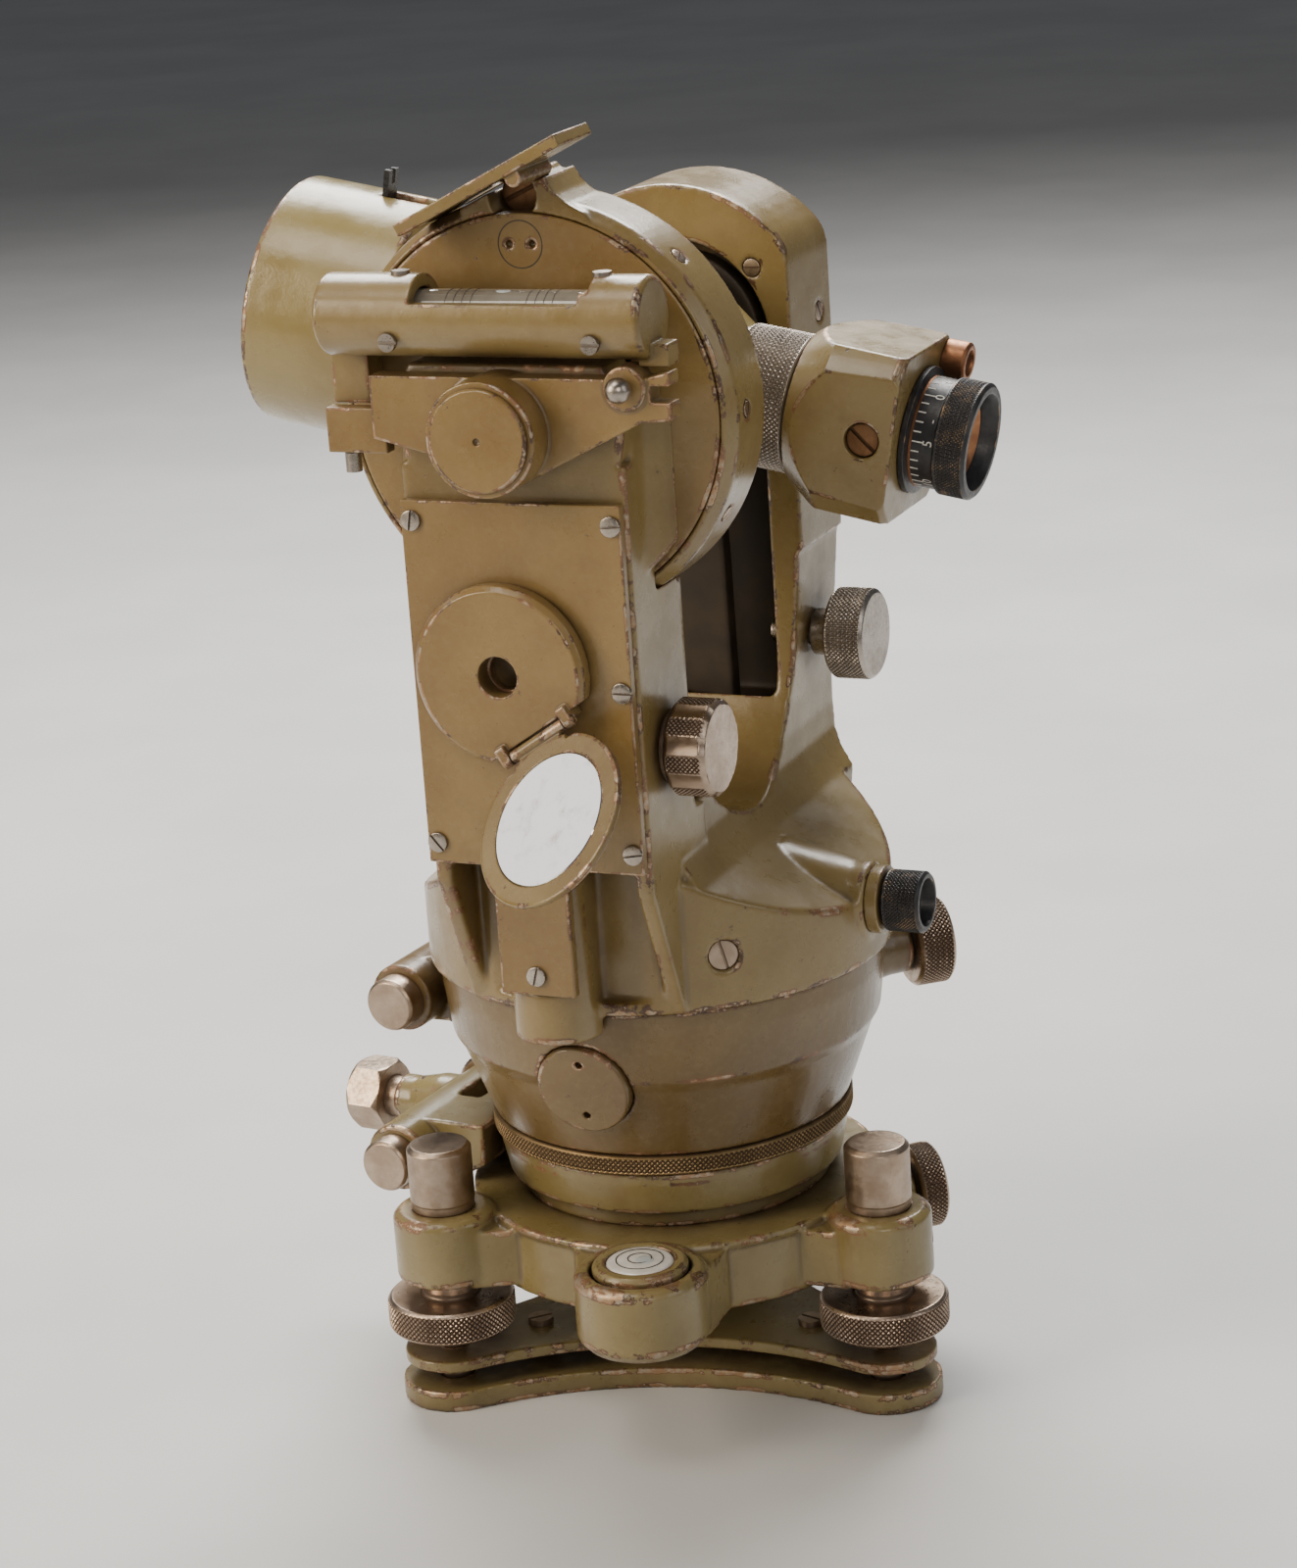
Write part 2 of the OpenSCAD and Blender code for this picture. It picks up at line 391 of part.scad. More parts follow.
module illumination_disc() color(olive) front(disc_c[0], -66.3, disc_c[2]) difference() {
  union() {
    difference() {
      rotate_extrude() polygon([[0, 0], [19.6, 0], [20.2, 0.6], [20.2, 3.6], [19, 4.8], [0, 4.8]]);
      rotate([0, 0, hinge_a]) translate([14.6, -30, -1]) cube([20, 60, 10]);
    }
    for (s = [-1, 1]) rotate([0, 0, hinge_a]) {
      translate([13, 9.1 * s - 1.2, 0]) cube([3.4, 2.4, 6.6]);
      translate([hinge_v, 9.1 * s + 1.2, 5.2]) rotate([90, 0, 0]) cylinder(r = 1.5, h = 2.4, $fn = 32);
    }
  }
  translate([0, 0, -1]) cylinder(r = 4.6, h = 10);
  rotate([0, 0, hinge_a]) translate([hinge_v, 12, 5.2]) rotate([90, 0, 0]) cylinder(r = 0.9, h = 24, $fn = 24);
}
module hinge_frame() front(disc_c[0], -66.3, disc_c[2]) rotate([0, 0, hinge_a]) translate([hinge_v, 0, 5.2]) children();
module mirror_flap() color(olive) hinge_frame() {
  translate([0, 7.6, 0]) rotate([90, 0, 0]) cylinder(r = 1.4, h = 15.2, $fn = 32);
  translate([0, 10.2, 0]) rotate([90, 0, 0]) cylinder(r = 0.7, h = 20.4, $fn = 24);
  rotate([0, -flap_open, 0]) difference() {
    union() {
      translate([21.4, 0, 0]) rotate_extrude() polygon([[0, -2.2], [18.8, -2.2], [20.2, -1.2], [20.2, 0], [19.6, 0.2], [0, 0.2]]);
      translate([0, -6, -1.4]) cube([8, 12, 1.5]);
    }
    translate([21.4, 0, -1.2]) cylinder(r = 15.6, h = 4);
    for (s = [-1, 1]) translate([-1, 9.1 * s - 1.6, -3]) cube([5, 3.2, 4]);
  }
}
module mirror_glass() color(glass) hinge_frame() rotate([0, -flap_open, 0]) translate([21.4, 0, -1.2]) beveled(15.55, 1.3, 0.3);
module reader_frame() translate([4.5, -62, 295]) rotate([0, -26.1, 0]) children();
module reader_plate() color(olive) difference() {
  reader_frame() difference() {
    union() {
      translate([-30.2, 0, 1.15]) cube([43.6, 17.8, 2.8]);
      translate([0, 17.2, 0]) rotate([90, 0, 0]) cylinder(r = 1.9, h = 16.6, $fn = 48);
    }
    translate([-27, 3, 0]) cube([23, 11.8, 1.95]);
  }
  front(0, -40, tz) cylinder(r = circle_r + 0.3, h = 12);
}
module reader_mirror() color(glass) reader_frame() translate([-26.9, 3.1, 1.25]) cube([22.8, 11.6, 0.7]);
module index_knob() color(nickel) right_of(28.4, -48, 168) {
  knob_shape(11.1, 10, 1.2);
  translate([0, 0, -1.7]) cylinder(r = 8.2, h = 1.8);
  translate([0, 0, -13]) cylinder(r = 3, h = 14, $fn = 48);
}

// ---------- level on the trunnion line ----------
module level_carrier() color(olive) difference() {
  union() {
    front(0, -63.8, tz) cylinder(r = 12.6, h = 14.2);
    translate([0, -64.6, 0]) rotate([90, 0, 0]) linear_extrude(5.6) polygon([[-29, 240.6], [-29, 254.4], [34, 254.4], [41, 256.2], [41, 245.8], [34, 245.2], [10, 233.4], [-10, 236]]);
    translate([31, -64.6, 252.6]) rotate([90, 0, 0]) cylinder(r = 4.8, h = 6.6);
    // left fork leg
    translate([-43, -64.6, 236]) cube([14.4, 3.8, 10]);
  }
  front(0, -60, tz) cylinder(r = 5.06, h = 16);
  translate([36.4, -72, 249.6]) cube([6, 10, 3.6]);
  translate([31, -80, 253]) rotate([-90, 0, 0]) cylinder(r = 2.9, h = 6, $fn = 48);
}
module pivot_cap() color(olive) front(0, -78.1, tz) difference() {
  rotate_extrude() polygon([[0, 0], [11.3, 0], [11.3, 0.8], [10.9, 1.3], [0, 1.3]]);
  translate([0, 0, 0.6]) cylinder(r = 0.8, h = 2, $fn = 24);
}
module level_tube() color(olive) difference() {
  union() {
    right_of(level_x0, level_y, level_z) rotate_extrude() polygon([[0, 0], [8.1, 0], [level_r, 0.8], [level_r, level_len - 0.8], [8.1, level_len], [0, level_len]]);
    translate([-42.6, -60.7, 246.2]) cube([9, 7, 20]);
    translate([33, -67, 256.5]) cube([6.8, 6, 5]);
  }
  right_of(level_x0 + 6, level_y, level_z) cylinder(r = 6.0, h = level_len - 12);
  for (x = [-22, 25]) {
    front(x, level_y - level_r + 0.7, level_z - 4.4) cylinder(r = 2, h = 3, $fn = 48);
    translate([x, level_y, level_z + level_r - 0.5]) cylinder(r = 2, h = 2, $fn = 48);
  }
  // window
  translate([-17, -80, level_z + 3.6]) rotate([0, 0, 0]) cube([39, 30, 10]);
  translate([-17, -80, level_z + 6]) rotate([0, 0, 0]) cube([41, 30, 10]);
}
module level_vial() color(glass) right_of(level_x0 + 7, level_y, level_z) beveled(5.6, level_len - 14, 0.6);
module level_screws() color(steel) {
  for (x = [-22, 25]) {
    front(x, level_y - level_r + 0.7, level_z - 4.4) slot_head(2, 1.3, 0.7);
    translate([x, level_y, level_z + level_r - 0.5]) cylinder(r = 2, h = 1.1, $fn = 48);
  }
  translate([31, -74.2, 253]) rotate([-90, 0, 0]) sphere(r = 2.8);
  translate([-38, -60.9 - 1.9, 231.6]) cylinder(r = 1.8, h = 4.3, $fn = 32);
}

// ---------- far side ----------
module far_cover() color(olive) front(0, 57.6, tz) rotate_extrude() polygon([[0, 0], [23.9, 0], [23.9, 3.4], [15, 3.6], [0, 3.6]]);
module elevation_knob() color(nickel) right_of(32.2, 43, 169.4) {
  knob_shape(11, 10, 1);
  translate([0, 0, -5]) cylinder(r = 5.6, h = 5.1);
  translate([0, 0, -16]) cylinder(r = 3, h = 17, $fn = 48);
}
module elevation_arm() color(olive) difference() {
  union() {
    front(0, 37.2, tz) cylinder(r = 21, h = 5);
    translate([0, 37.2, 0]) rotate([90, 0, 0]) linear_extrude(5) polygon([[-8, 230], [-5, 156], [9, 154], [8, 230]]);
  }
  front(0, 45, tz) cylinder(r = 9.4, h = 20);
}
module trunnion_axle() color(steel) {
  front(0, 53.4, tz) cylinder(r = 8.9, h = 30.7);
  front(0, -22.7, tz) cylinder(r = 8.9, h = 34.3);
}

// ---------- telescope ----------
module telescope_body() color(olive) difference() {
  union() {
    tele(-83.5) rotate_extrude() polygon([[0, 0], [hood_r - 0.5, 0], [hood_r, 0.5], [hood_r, 34], [26, 36.5], [26, 96], [15, 113], [15, 129.2], [0, 129.2]]);
    front(0, 29.4, tz) cylinder(r = 19, h = 58.8);
  }
  tele(-90) cylinder(r = 26.2, h = 32);
  tele(-60) cylinder(r = 22.6, h = 72);
  tele(-10) cylinder(r = 11, h = 60);
  // sight slot
  tele(-63) translate([-34, -2.6, 0]) cube([10, 5.2, 17]);
  front(0, 40, tz) cylinder(r = 8.9, h = 80);
}
module objective_lens() color(glass) tele(-63) rotate_extrude() polygon([[0, -1.6], [12, -1], [22, 0.4], [26.15, 0.4], [26.15, 3.8], [22, 5], [0, 5]]);
module focusing_ring() color(nickel) tele(30) rotate_extrude() polygon([[15.06, 0], [15.4, 0], [15.9, 0.5], [15.9, 14.4], [15.5, 14.8], [15.06, 14.8]]);
module focusing_lens() color(brass) tele(14) tube(10.95, 8, 16);
module eyepiece_block() color(olive) difference() {
  intersection() {
    tele(45.7) rotate_extrude() polygon([[0, 0], [17.4, 0], [23.4, 8.5], [24, 24.6], [23, 26], [0, 26]]);
    tele(45.7) translate([-18.9, -18.9, -1]) cube([37.8, 37.8, 30]);
  }
  tele(40) cylinder(r = 11.05, h = 40);
  tele(64.7) rotate([90, 0, 0]) translate([0, 0, 16.8]) cylinder(r = 4, h = 4, $fn = 48);
}
module eyepiece() color(black) tele(71.9) rotate_extrude()
  polygon([[5.5, -14], [10.9, -14], [10.9, 0], [14.4, 0], [14.4, 1.4], [12.4, 1.6], [12.4, 7.2], [13.2, 7.6], [13.2, 14.2], [12.6, 14.8], [10.4, 14.8], [9.4, 11], [5.5, 8]]);
module reading_eyepiece() color(brass) tele(71.7) translate([-13.4, 13.6, 0]) rotate_extrude() polygon([[0, 0], [4.6, 0], [4.6, 5], [4, 5.6], [0, 5.6]]);
module sight() color(steel) difference() {
  tele(-62.8) translate([-34.6, -2.4, 0]) cube([8.25, 4.8, 1.4]);
  tele(-64) translate([-36, -0.8, 0]) cube([4.6, 1.6, 4]);
}

base_plate();
spring_plate();
tribrach();
foot_bushes();
foot_screw_left();
foot_screw_right();
foot_screw_rear();
foot_caps();
base_screws();
circular_level_cup();
circular_level_vial();
lock_knob();
base_ring();
base_socket();
setting_ring();
clamp_bracket();
clamp_screw_hex();
lower_tangent_screw();
lower_tangent_spring();
lower_tangent_cap();
lower_housing();
limb_sleeve();
two_hole_cover();
horizontal_circle();
upper_clamp_knob();
upper_tangent_screw();
upper_tangent_spring();
upper_tangent_cap();
alidade_casting();
axis_spindle();
alidade_screws();
plummet_tube();
plummet_eyepiece();
circle_housing();
circle_cover();
vertical_circle();
near_panel();
illumination_disc();
mirror_flap();
mirror_glass();
reader_plate();
reader_mirror();
index_knob();
level_carrier();
pivot_cap();
level_tube();
level_vial();
level_screws();
far_cover();
elevation_knob();
elevation_arm();
trunnion_axle();
telescope_body();
objective_lens();
focusing_ring();
focusing_lens();
eyepiece_block();
eyepiece();
reading_eyepiece();
sight();
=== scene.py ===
import bpy, bmesh, json, math
import numpy as np
from mathutils import Matrix, Vector


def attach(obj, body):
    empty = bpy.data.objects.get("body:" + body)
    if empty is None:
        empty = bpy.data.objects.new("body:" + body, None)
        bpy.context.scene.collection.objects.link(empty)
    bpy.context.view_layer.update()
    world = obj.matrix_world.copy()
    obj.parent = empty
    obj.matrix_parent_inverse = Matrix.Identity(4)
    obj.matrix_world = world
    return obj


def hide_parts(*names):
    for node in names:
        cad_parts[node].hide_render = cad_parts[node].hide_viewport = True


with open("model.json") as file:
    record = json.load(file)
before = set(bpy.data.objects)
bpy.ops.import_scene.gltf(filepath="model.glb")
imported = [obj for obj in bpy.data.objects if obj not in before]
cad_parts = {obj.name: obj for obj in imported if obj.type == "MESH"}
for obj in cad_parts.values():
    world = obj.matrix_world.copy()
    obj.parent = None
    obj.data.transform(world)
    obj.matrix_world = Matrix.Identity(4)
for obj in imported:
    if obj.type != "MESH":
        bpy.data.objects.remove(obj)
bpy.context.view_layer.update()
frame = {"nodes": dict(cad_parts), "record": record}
NODES = frame["nodes"]
REC = frame["record"]
BODY_OF = {n: b for b, ns in REC["behaviour"]["bodies"].items() for n in ns}
JOINT = {j["name"]: j for j in REC["behaviour"]["joints"]}
MM = 0.001
TZ = 242.5
TILT = 10.5
LVL = -75.7
CLAMP = 173.6
KNOB = 39.8
FEET = (LVL - 60, LVL + 60, LVL + 180)


# ---------------------------------------------------------------- frames (millimetres in, metres out)
def T(x, y, z): return Matrix.Translation((x * MM, y * MM, z * MM))
def RX(a): return Matrix.Rotation(math.radians(a), 4, "X")
def RY(a): return Matrix.Rotation(math.radians(a), 4, "Y")
def RZ(a): return Matrix.Rotation(math.radians(a), 4, "Z")
def front(x, y, z): return T(x, y, z) @ RX(90)
def right_of(x, y, z): return T(x, y, z) @ RY(90)
def tele(s): return T(0, 0, TZ) @ RY(90 + TILT) @ T(0, 0, s)
def foot(a): return RZ(a) @ T(60, 0, 0)


# ---------------------------------------------------------------- materials
class Tree:
    def __init__(self, name):
        self.m = bpy.data.materials.new(name)
        self.m.use_nodes = True
        self.t = self.m.node_tree
        self.t.nodes.clear()
        self.out = self.n("ShaderNodeOutputMaterial")
        self.b = self.n("ShaderNodeBsdfPrincipled")
        self.l(self.b, "BSDF", self.out, "Surface")
        self.co = self.n("ShaderNodeTexCoord")

    def n(self, kind, **props):
        x = self.t.nodes.new(kind)
        for k, v in props.items():
            setattr(x, k, v)
        return x

    def l(self, a, ao, b, bi):
        self.t.links.new(a.outputs[ao] if not hasattr(a, "is_output") else a, b.inputs[bi])

    def link(self, sock, b, bi):
        self.t.links.new(sock, b.inputs[bi])

    def noise(self, scale, detail=3.0, rough=0.55, dist=0.0, stretch=None):
        x = self.n("ShaderNodeTexNoise")
        x.inputs["Scale"].default_value = scale
        x.inputs["Detail"].default_value = detail
        x.inputs["Roughness"].default_value = rough
        x.inputs["Distortion"].default_value = dist
        src = self.co.outputs["Object"]
        if stretch:
            mp = self.n("ShaderNodeMapping")
            mp.inputs["Scale"].default_value = stretch
            self.link(src, mp, "Vector")
            src = mp.outputs["Vector"]
        self.link(src, x, "Vector")
        return x.outputs["Fac"]

    def ramp(self, src, a, b, lo=0.0, hi=1.0):
        x = self.n("ShaderNodeMapRange")
        x.interpolation_type = "SMOOTHSTEP"
        x.inputs["From Min"].default_value = a
        x.inputs["From Max"].default_value = b
        x.inputs["To Min"].default_value = lo
        x.inputs["To Max"].default_value = hi
        self.link(src, x, "Value")
        return x.outputs["Result"]

    def math(self, op, a, b=None, c=None):
        x = self.n("ShaderNodeMath", operation=op)
        for i, v in enumerate((a, b, c)):
            if v is None:
                continue
            if isinstance(v, (int, float)):
                x.inputs[i].default_value = v
            else:
                self.t.links.new(v, x.inputs[i])
        return x.outputs[0]

    def mix(self, fac, a, b):
        x = self.n("ShaderNodeMix", data_type="RGBA")
        for key, v in (("A", a), ("B", b)):
            sock = [s for s in x.inputs if s.name == key and s.type == "RGBA"][0]
            if isinstance(v, tuple):
                sock.default_value = (*v, 1.0)
            else:
                self.t.links.new(v, sock)
        f = [s for s in x.inputs if s.name == "Factor" and s.type == "VALUE"][0]
        if isinstance(fac, (int, float)):
            f.default_value = fac
        else:
            self.t.links.new(fac, f)
        return [s for s in x.outputs if s.type == "RGBA"][0]

    def attr(self, name):
        x = self.n("ShaderNodeAttribute", attribute_name=name)
        return x.outputs["Fac"]

    def bump(self, h, strength, dist):
        x = self.n("ShaderNodeBump")
        x.inputs["Strength"].default_value = strength
        x.inputs["Distance"].default_value = dist
        self.link(h, x, "Height")
        return x


def paint(name, wear=1.0, dirt_and_shade=1.0, dark=(0.182, 0.120, 0.037), pale=(0.242, 0.172, 0.064), brown=0.55, rough=0.31):
    """Satin olive enamel over brown primer over grey metal. Attribute cv holds convexity in 1/mm."""
    m = Tree(name)
    big = m.noise(22, 3)
    mid = m.noise(95, 5, 0.62)
    fine = m.noise(620, 4, 0.6)
    grain = m.noise(1700, 2, 0.5)
    col = m.mix(m.ramp(big, 0.36, 0.66), dark, pale)
    col = m.mix(m.math("MULTIPLY", m.ramp(mid, 0.50, 0.74), 0.30 * brown * 2), col, (0.150, 0.086, 0.028))
    # long brown runs and rubbed, paler areas
    runs = m.ramp(m.noise(30, 5, 0.7, 0.6, (1.0, 1.0, 0.35)), 0.54, 0.76)
    col = m.mix(m.math("MULTIPLY", runs, 0.42 * brown * 2), col, (0.125, 0.068, 0.024))
    col = m.mix(m.math("MULTIPLY", m.ramp(fine, 0.40, 0.80), 0.13), col, (0.33, 0.28, 0.14))
    # grime and painted shade in hollows: AO and concave cv darken the colour towards a near-black brown
    ao = m.n("ShaderNodeAmbientOcclusion", samples=6)
    ao.inputs["Distance"].default_value = 0.010
    hollow = m.ramp(ao.outputs["AO"], 0.80, 0.18)
    cv = m.attr("cv")
    hollow2 = m.ramp(cv, -0.10, -0.55)
    grime_and_shade = m.math("MULTIPLY", m.math("MAXIMUM", m.math("MULTIPLY", hollow, 0.82), m.math("MULTIPLY", hollow2, 0.55)),
                   m.ramp(m.noise(120, 4, 0.6), 0.26, 0.60, 0.50 * dirt_and_shade, 1.0 * dirt_and_shade))
    grime_and_shade = m.math("MINIMUM", grime_and_shade, 0.95)
    col = m.mix(grime_and_shade, col, (0.042, 0.021, 0.0075))
    # specks and chips
    speck = m.ramp(m.noise(430, 3, 0.75), 0.700, 0.728)
    col = m.mix(m.math("MULTIPLY", speck, 0.80 * min(1.0, wear)), col, (0.060, 0.026, 0.011))
    chip = m.ramp(m.noise(190, 5, 0.72, 0.4), 0.735, 0.750)
    col = m.mix(m.math("MULTIPLY", chip, min(1.0, 0.8 * wear)), col, (0.30, 0.215, 0.140))
    # worn edges: dark primer first, coppery metal where the edge is sharpest
    n1 = m.math("ADD", m.math("MULTIPLY", m.noise(130, 6, 0.7), 1.3), m.math("MULTIPLY", mid, 0.5))
    edge = m.math("MULTIPLY", m.ramp(cv, 0.04, 0.48), m.ramp(n1, 0.84, 1.14))
    edge = m.math("MULTIPLY", edge, wear)
    primer = m.ramp(edge, 0.10, 0.20)
    metal = m.ramp(edge, 0.40, 0.56)
    pcol = m.mix(m.ramp(mid, 0.4, 0.6), (0.058, 0.026, 0.011), (0.185, 0.086, 0.036))
    col = m.mix(primer, col, pcol)
    col = m.mix(metal, col, m.mix(m.ramp(fine, 0.4, 0.65), (0.36, 0.225, 0.125), (0.44, 0.37, 0.28)))
    m.link(col, m.b, "Base Color")
    met = m.math("MULTIPLY", metal, 0.8)
    m.link(met, m.b, "Metallic")
    r = m.math("ADD", m.ramp(mid, 0.3, 0.8, rough - 0.07, rough + 0.13), m.math("MULTIPLY", grime_and_shade, 0.30))
    r = m.math("ADD", r, m.math("MULTIPLY", primer, 0.12))
    m.link(r, m.b, "Roughness")
    m.b.inputs["Specular IOR Level"].default_value = 0.55
    m.b.inputs["Coat Weight"].default_value = 0.28
    m.b.inputs["Coat Roughness"].default_value = 0.20
    h = m.math("ADD", m.math("MULTIPLY", grain, 0.25), m.math("MULTIPLY", fine, 0.55))
    h = m.math("SUBTRACT", h, m.math("MULTIPLY", m.math("MAXIMUM", m.math("MAXIMUM", primer, speck), chip), 0.9))
    b1 = m.bump(h, 0.24, 0.00035)
    b2 = m.bump(m.noise(75, 2, 0.5), 0.25, 0.0012)
    m.t.links.new(b1.outputs["Normal"], b2.inputs["Normal"])
    m.t.links.new(b2.outputs["Normal"], m.b.inputs["Normal"])
    return m.m


def metal(name, hi, lo, dirt_and_shade, rough=0.30, groove=True, shade_grime_amount=1.0, turned=0.0):
    """Turned or knurled metal. Attribute gv is 1 at the bottom of a knurl groove."""
    m = Tree(name)
    mid = m.noise(160, 5, 0.65)
    fine = m.noise(900, 3, 0.6)
    col = m.mix(m.ramp(mid, 0.32, 0.68), hi, lo)
    # darkening in hollows and knurl grooves (AO, gv, concave cv, patches): partly grime, partly painted shade
    ao = m.n("ShaderNodeAmbientOcclusion", samples=6)
    ao.inputs["Distance"].default_value = 0.004
    hol = m.math("MULTIPLY", m.ramp(ao.outputs["AO"], 0.80, 0.25), 0.8)
    if groove:
        gv = m.attr("gv")
        hol = m.math("MAXIMUM", hol, m.math("MULTIPLY", m.ramp(gv, 0.12, 0.70), 0.97))
    cv = m.attr("cv")
    hol = m.math("MAXIMUM", hol, m.math("MULTIPLY", m.ramp(cv, -0.05, -0.5), 0.8))
    patch = m.ramp(m.noise(60, 4, 0.6), 0.42, 0.72)
    hol = m.math("MULTIPLY", m.math("MAXIMUM", hol, m.math("MULTIPLY", patch, 0.20)), shade_grime_amount)
    col = m.mix(hol, col, dirt_and_shade)
    m.link(col, m.b, "Base Color")
    m.link(m.ramp(hol, 0.2, 1.0, 1.0, 0.25), m.b, "Metallic")
    r = m.math("ADD", m.ramp(fine, 0.3, 0.8, rough - 0.05, rough + 0.12), m.math("MULTIPLY", hol, 0.35))
    m.link(r, m.b, "Roughness")
    if turned:
        m.b.inputs["Anisotropic"].default_value = turned
    b = m.bump(m.math("ADD", fine, m.math("MULTIPLY", m.noise(2600, 2, 0.5), 0.5)), 0.14, 0.00018)
    m.t.links.new(b.outputs["Normal"], m.b.inputs["Normal"])
    return m.m


def blackened(name, bare=(0.42, 0.27, 0.14), wear=1.0, rough=0.42):
    m = Tree(name)
    mid = m.noise(240, 5, 0.65)
    fine = m.noise(1200, 3, 0.6)
    col = m.mix(m.ramp(mid, 0.35, 0.7), (0.012, 0.012, 0.014), (0.030, 0.028, 0.030))
    col = m.mix(m.math("MULTIPLY", m.ramp(m.attr("gv"), 0.3, 0.9), 0.5), col, (0.040, 0.026, 0.014))
    cv = m.attr("cv")
    edge = m.math("MULTIPLY", m.math("MULTIPLY", m.ramp(cv, 0.9, 2.6), m.ramp(mid, 0.50, 0.70)), wear)
    col = m.mix(edge, col, bare)
    m.link(col, m.b, "Base Color")
    m.link(m.math("MULTIPLY", edge, 0.9), m.b, "Metallic")
    m.link(m.ramp(fine, 0.3, 0.8, rough - 0.08, rough + 0.1), m.b, "Roughness")
    b = m.bump(fine, 0.12, 0.0002)
    m.t.links.new(b.outputs["Normal"], m.b.inputs["Normal"])
    return m.m


def plain(name, a, b, scale=300, rough=0.5, metallic=0.0, coat=0.0, trans=0.0, bump=0.05):
    m = Tree(name)
    f = m.noise(scale, 4, 0.6)
    m.link(m.mix(m.ramp(f, 0.35, 0.7), a, b), m.b, "Base Color")
    m.link(m.ramp(f, 0.3, 0.8, max(0.02, rough - 0.04), rough + 0.06), m.b, "Roughness")
    m.b.inputs["Metallic"].default_value = metallic
    m.b.inputs["Coat Weight"].default_value = coat
    m.b.inputs["Coat Roughness"].default_value = 0.03
    m.b.inputs["Transmission Weight"].default_value = trans
    if bump:
        b_ = m.bump(m.noise(1500, 2, 0.5), bump, 0.0002)
        m.t.links.new(b_.outputs["Normal"], m.b.inputs["Normal"])
    return m.m


MAT = {
    "paint": paint("olive_enamel"),
    # darker copy of the enamel for the low housing and its cover: painted shade
    "paint_shaded_low": paint("olive_enamel_shaded_low", wear=1.0, dirt_and_shade=1.1, dark=(0.112, 0.066, 0.018), pale=(0.158, 0.102, 0.032), brown=0.75),
    # lighter copy of the enamel for the base parts: painted light; their heavier edge wear is real
    "paint_lit_base": paint("olive_enamel_lit_base", wear=1.7, dirt_and_shade=1.1, dark=(0.178, 0.132, 0.044), pale=(0.245, 0.192, 0.082), brown=0.5),
    # warmer, redder copy of the enamel for the front panel and covers: painted warm light from the front
    "paint_warm_lit_front": paint("olive_enamel_warm_lit_front", wear=1.0, dark=(0.192, 0.116, 0.034), pale=(0.248, 0.162, 0.055), brown=0.6),
    # lighter, yellower copy of the enamel for the telescope: painted light on the hood
    "paint_lit_hood": paint("olive_enamel_lit_hood", wear=0.9, dark=(0.232, 0.168, 0.052), pale=(0.272, 0.212, 0.078), brown=0.3, rough=0.26),
    # third colour of each metal: the grime and painted shade of its hollows and grooves
    "nickel": metal("worn_nickel", (0.54, 0.425, 0.335), (0.40, 0.300, 0.225), (0.048, 0.022, 0.009), rough=0.30),
    "steel": metal("turned_steel", (0.48, 0.385, 0.305), (0.36, 0.270, 0.200), (0.075, 0.036, 0.015), rough=0.34),
    "bright": metal("bright_steel", (0.47, 0.42, 0.37), (0.35, 0.31, 0.265), (0.075, 0.045, 0.025), rough=0.28, shade_grime_amount=0.75, turned=0.3),
    "brass": metal("machined_brass", (0.60, 0.40, 0.20), (0.45, 0.28, 0.13), (0.09, 0.045, 0.018), rough=0.35),
    "copper": metal("tarnished_brass", (0.42, 0.20, 0.10), (0.28, 0.13, 0.07), (0.06, 0.028, 0.014), rough=0.42),
    "rust": metal("stained_screw", (0.30, 0.165, 0.085), (0.18, 0.092, 0.045), (0.040, 0.018, 0.008), rough=0.48),
    "knurl_brass": metal("knurled_ring_metal", (0.36, 0.250, 0.130), (0.25, 0.175, 0.085), (0.050, 0.026, 0.010), rough=0.42),
    "black": blackened("blackened_brass"),
    "black_scale": blackened("blackened_scale", wear=0.5, rough=0.30),
    # near-black stand-in for the shade inside hollows and slots: painted shade
    "shade_black": plain("painted_shade_black", (0.020, 0.013, 0.007), (0.042, 0.026, 0.013), 90, 0.62),
    "white_mark": plain("white_filling", (0.80, 0.78, 0.72), (0.62, 0.60, 0.54), 700, 0.6),
    "ink": plain("dark_filling", (0.020, 0.017, 0.014), (0.045, 0.036, 0.028), 700, 0.6),
    "vial": plain("level_fluid", (0.235, 0.215, 0.180), (0.150, 0.130, 0.100), 60, 0.06, coat=1.0, bump=0.0),
    "vial_white": plain("level_dial_white", (0.82, 0.80, 0.76), (0.70, 0.68, 0.63), 200, 0.16, coat=1.0, bump=0.0),
    "bubble": plain("level_bubble", (0.62, 0.68, 0.70), (0.50, 0.56, 0.58), 200, 0.05, coat=1.0, bump=0.0),
    # near-black for holes: painted shade
    "hole_shade": plain("painted_hole_shade", (0.010, 0.009, 0.008), (0.022, 0.018, 0.014), 300, 0.7),
    "lens": plain("lens_glass", (0.030, 0.022, 0.030), (0.016, 0.018, 0.028), 30, 0.04, coat=1.0, bump=0.0),
}


def glass_material():
    m = Tree("clear_glass")
    f = m.noise(80, 3)
    m.link(m.mix(f, (0.93, 0.97, 0.96), (0.97, 0.99, 0.98)), m.b, "Base Color")
    m.link(m.ramp(f, 0.3, 0.8, 0.01, 0.06), m.b, "Roughness")
    m.b.inputs["Transmission Weight"].default_value = 1.0
    m.b.inputs["IOR"].default_value = 1.5
    return m.m


def mirror_material():
    m = Tree("silvered_glass")
    f = m.noise(140, 5, 0.65)
    haze = m.ramp(f, 0.52, 0.78)
    m.link(m.mix(haze, (0.90, 0.89, 0.87), (0.66, 0.60, 0.54)), m.b, "Base Color")
    m.b.inputs["Metallic"].default_value = 1.0
    m.link(m.ramp(f, 0.45, 0.8, 0.05, 0.22), m.b, "Roughness")
    return m.m


MAT["glass"] = glass_material()
MAT["mirror"] = mirror_material()


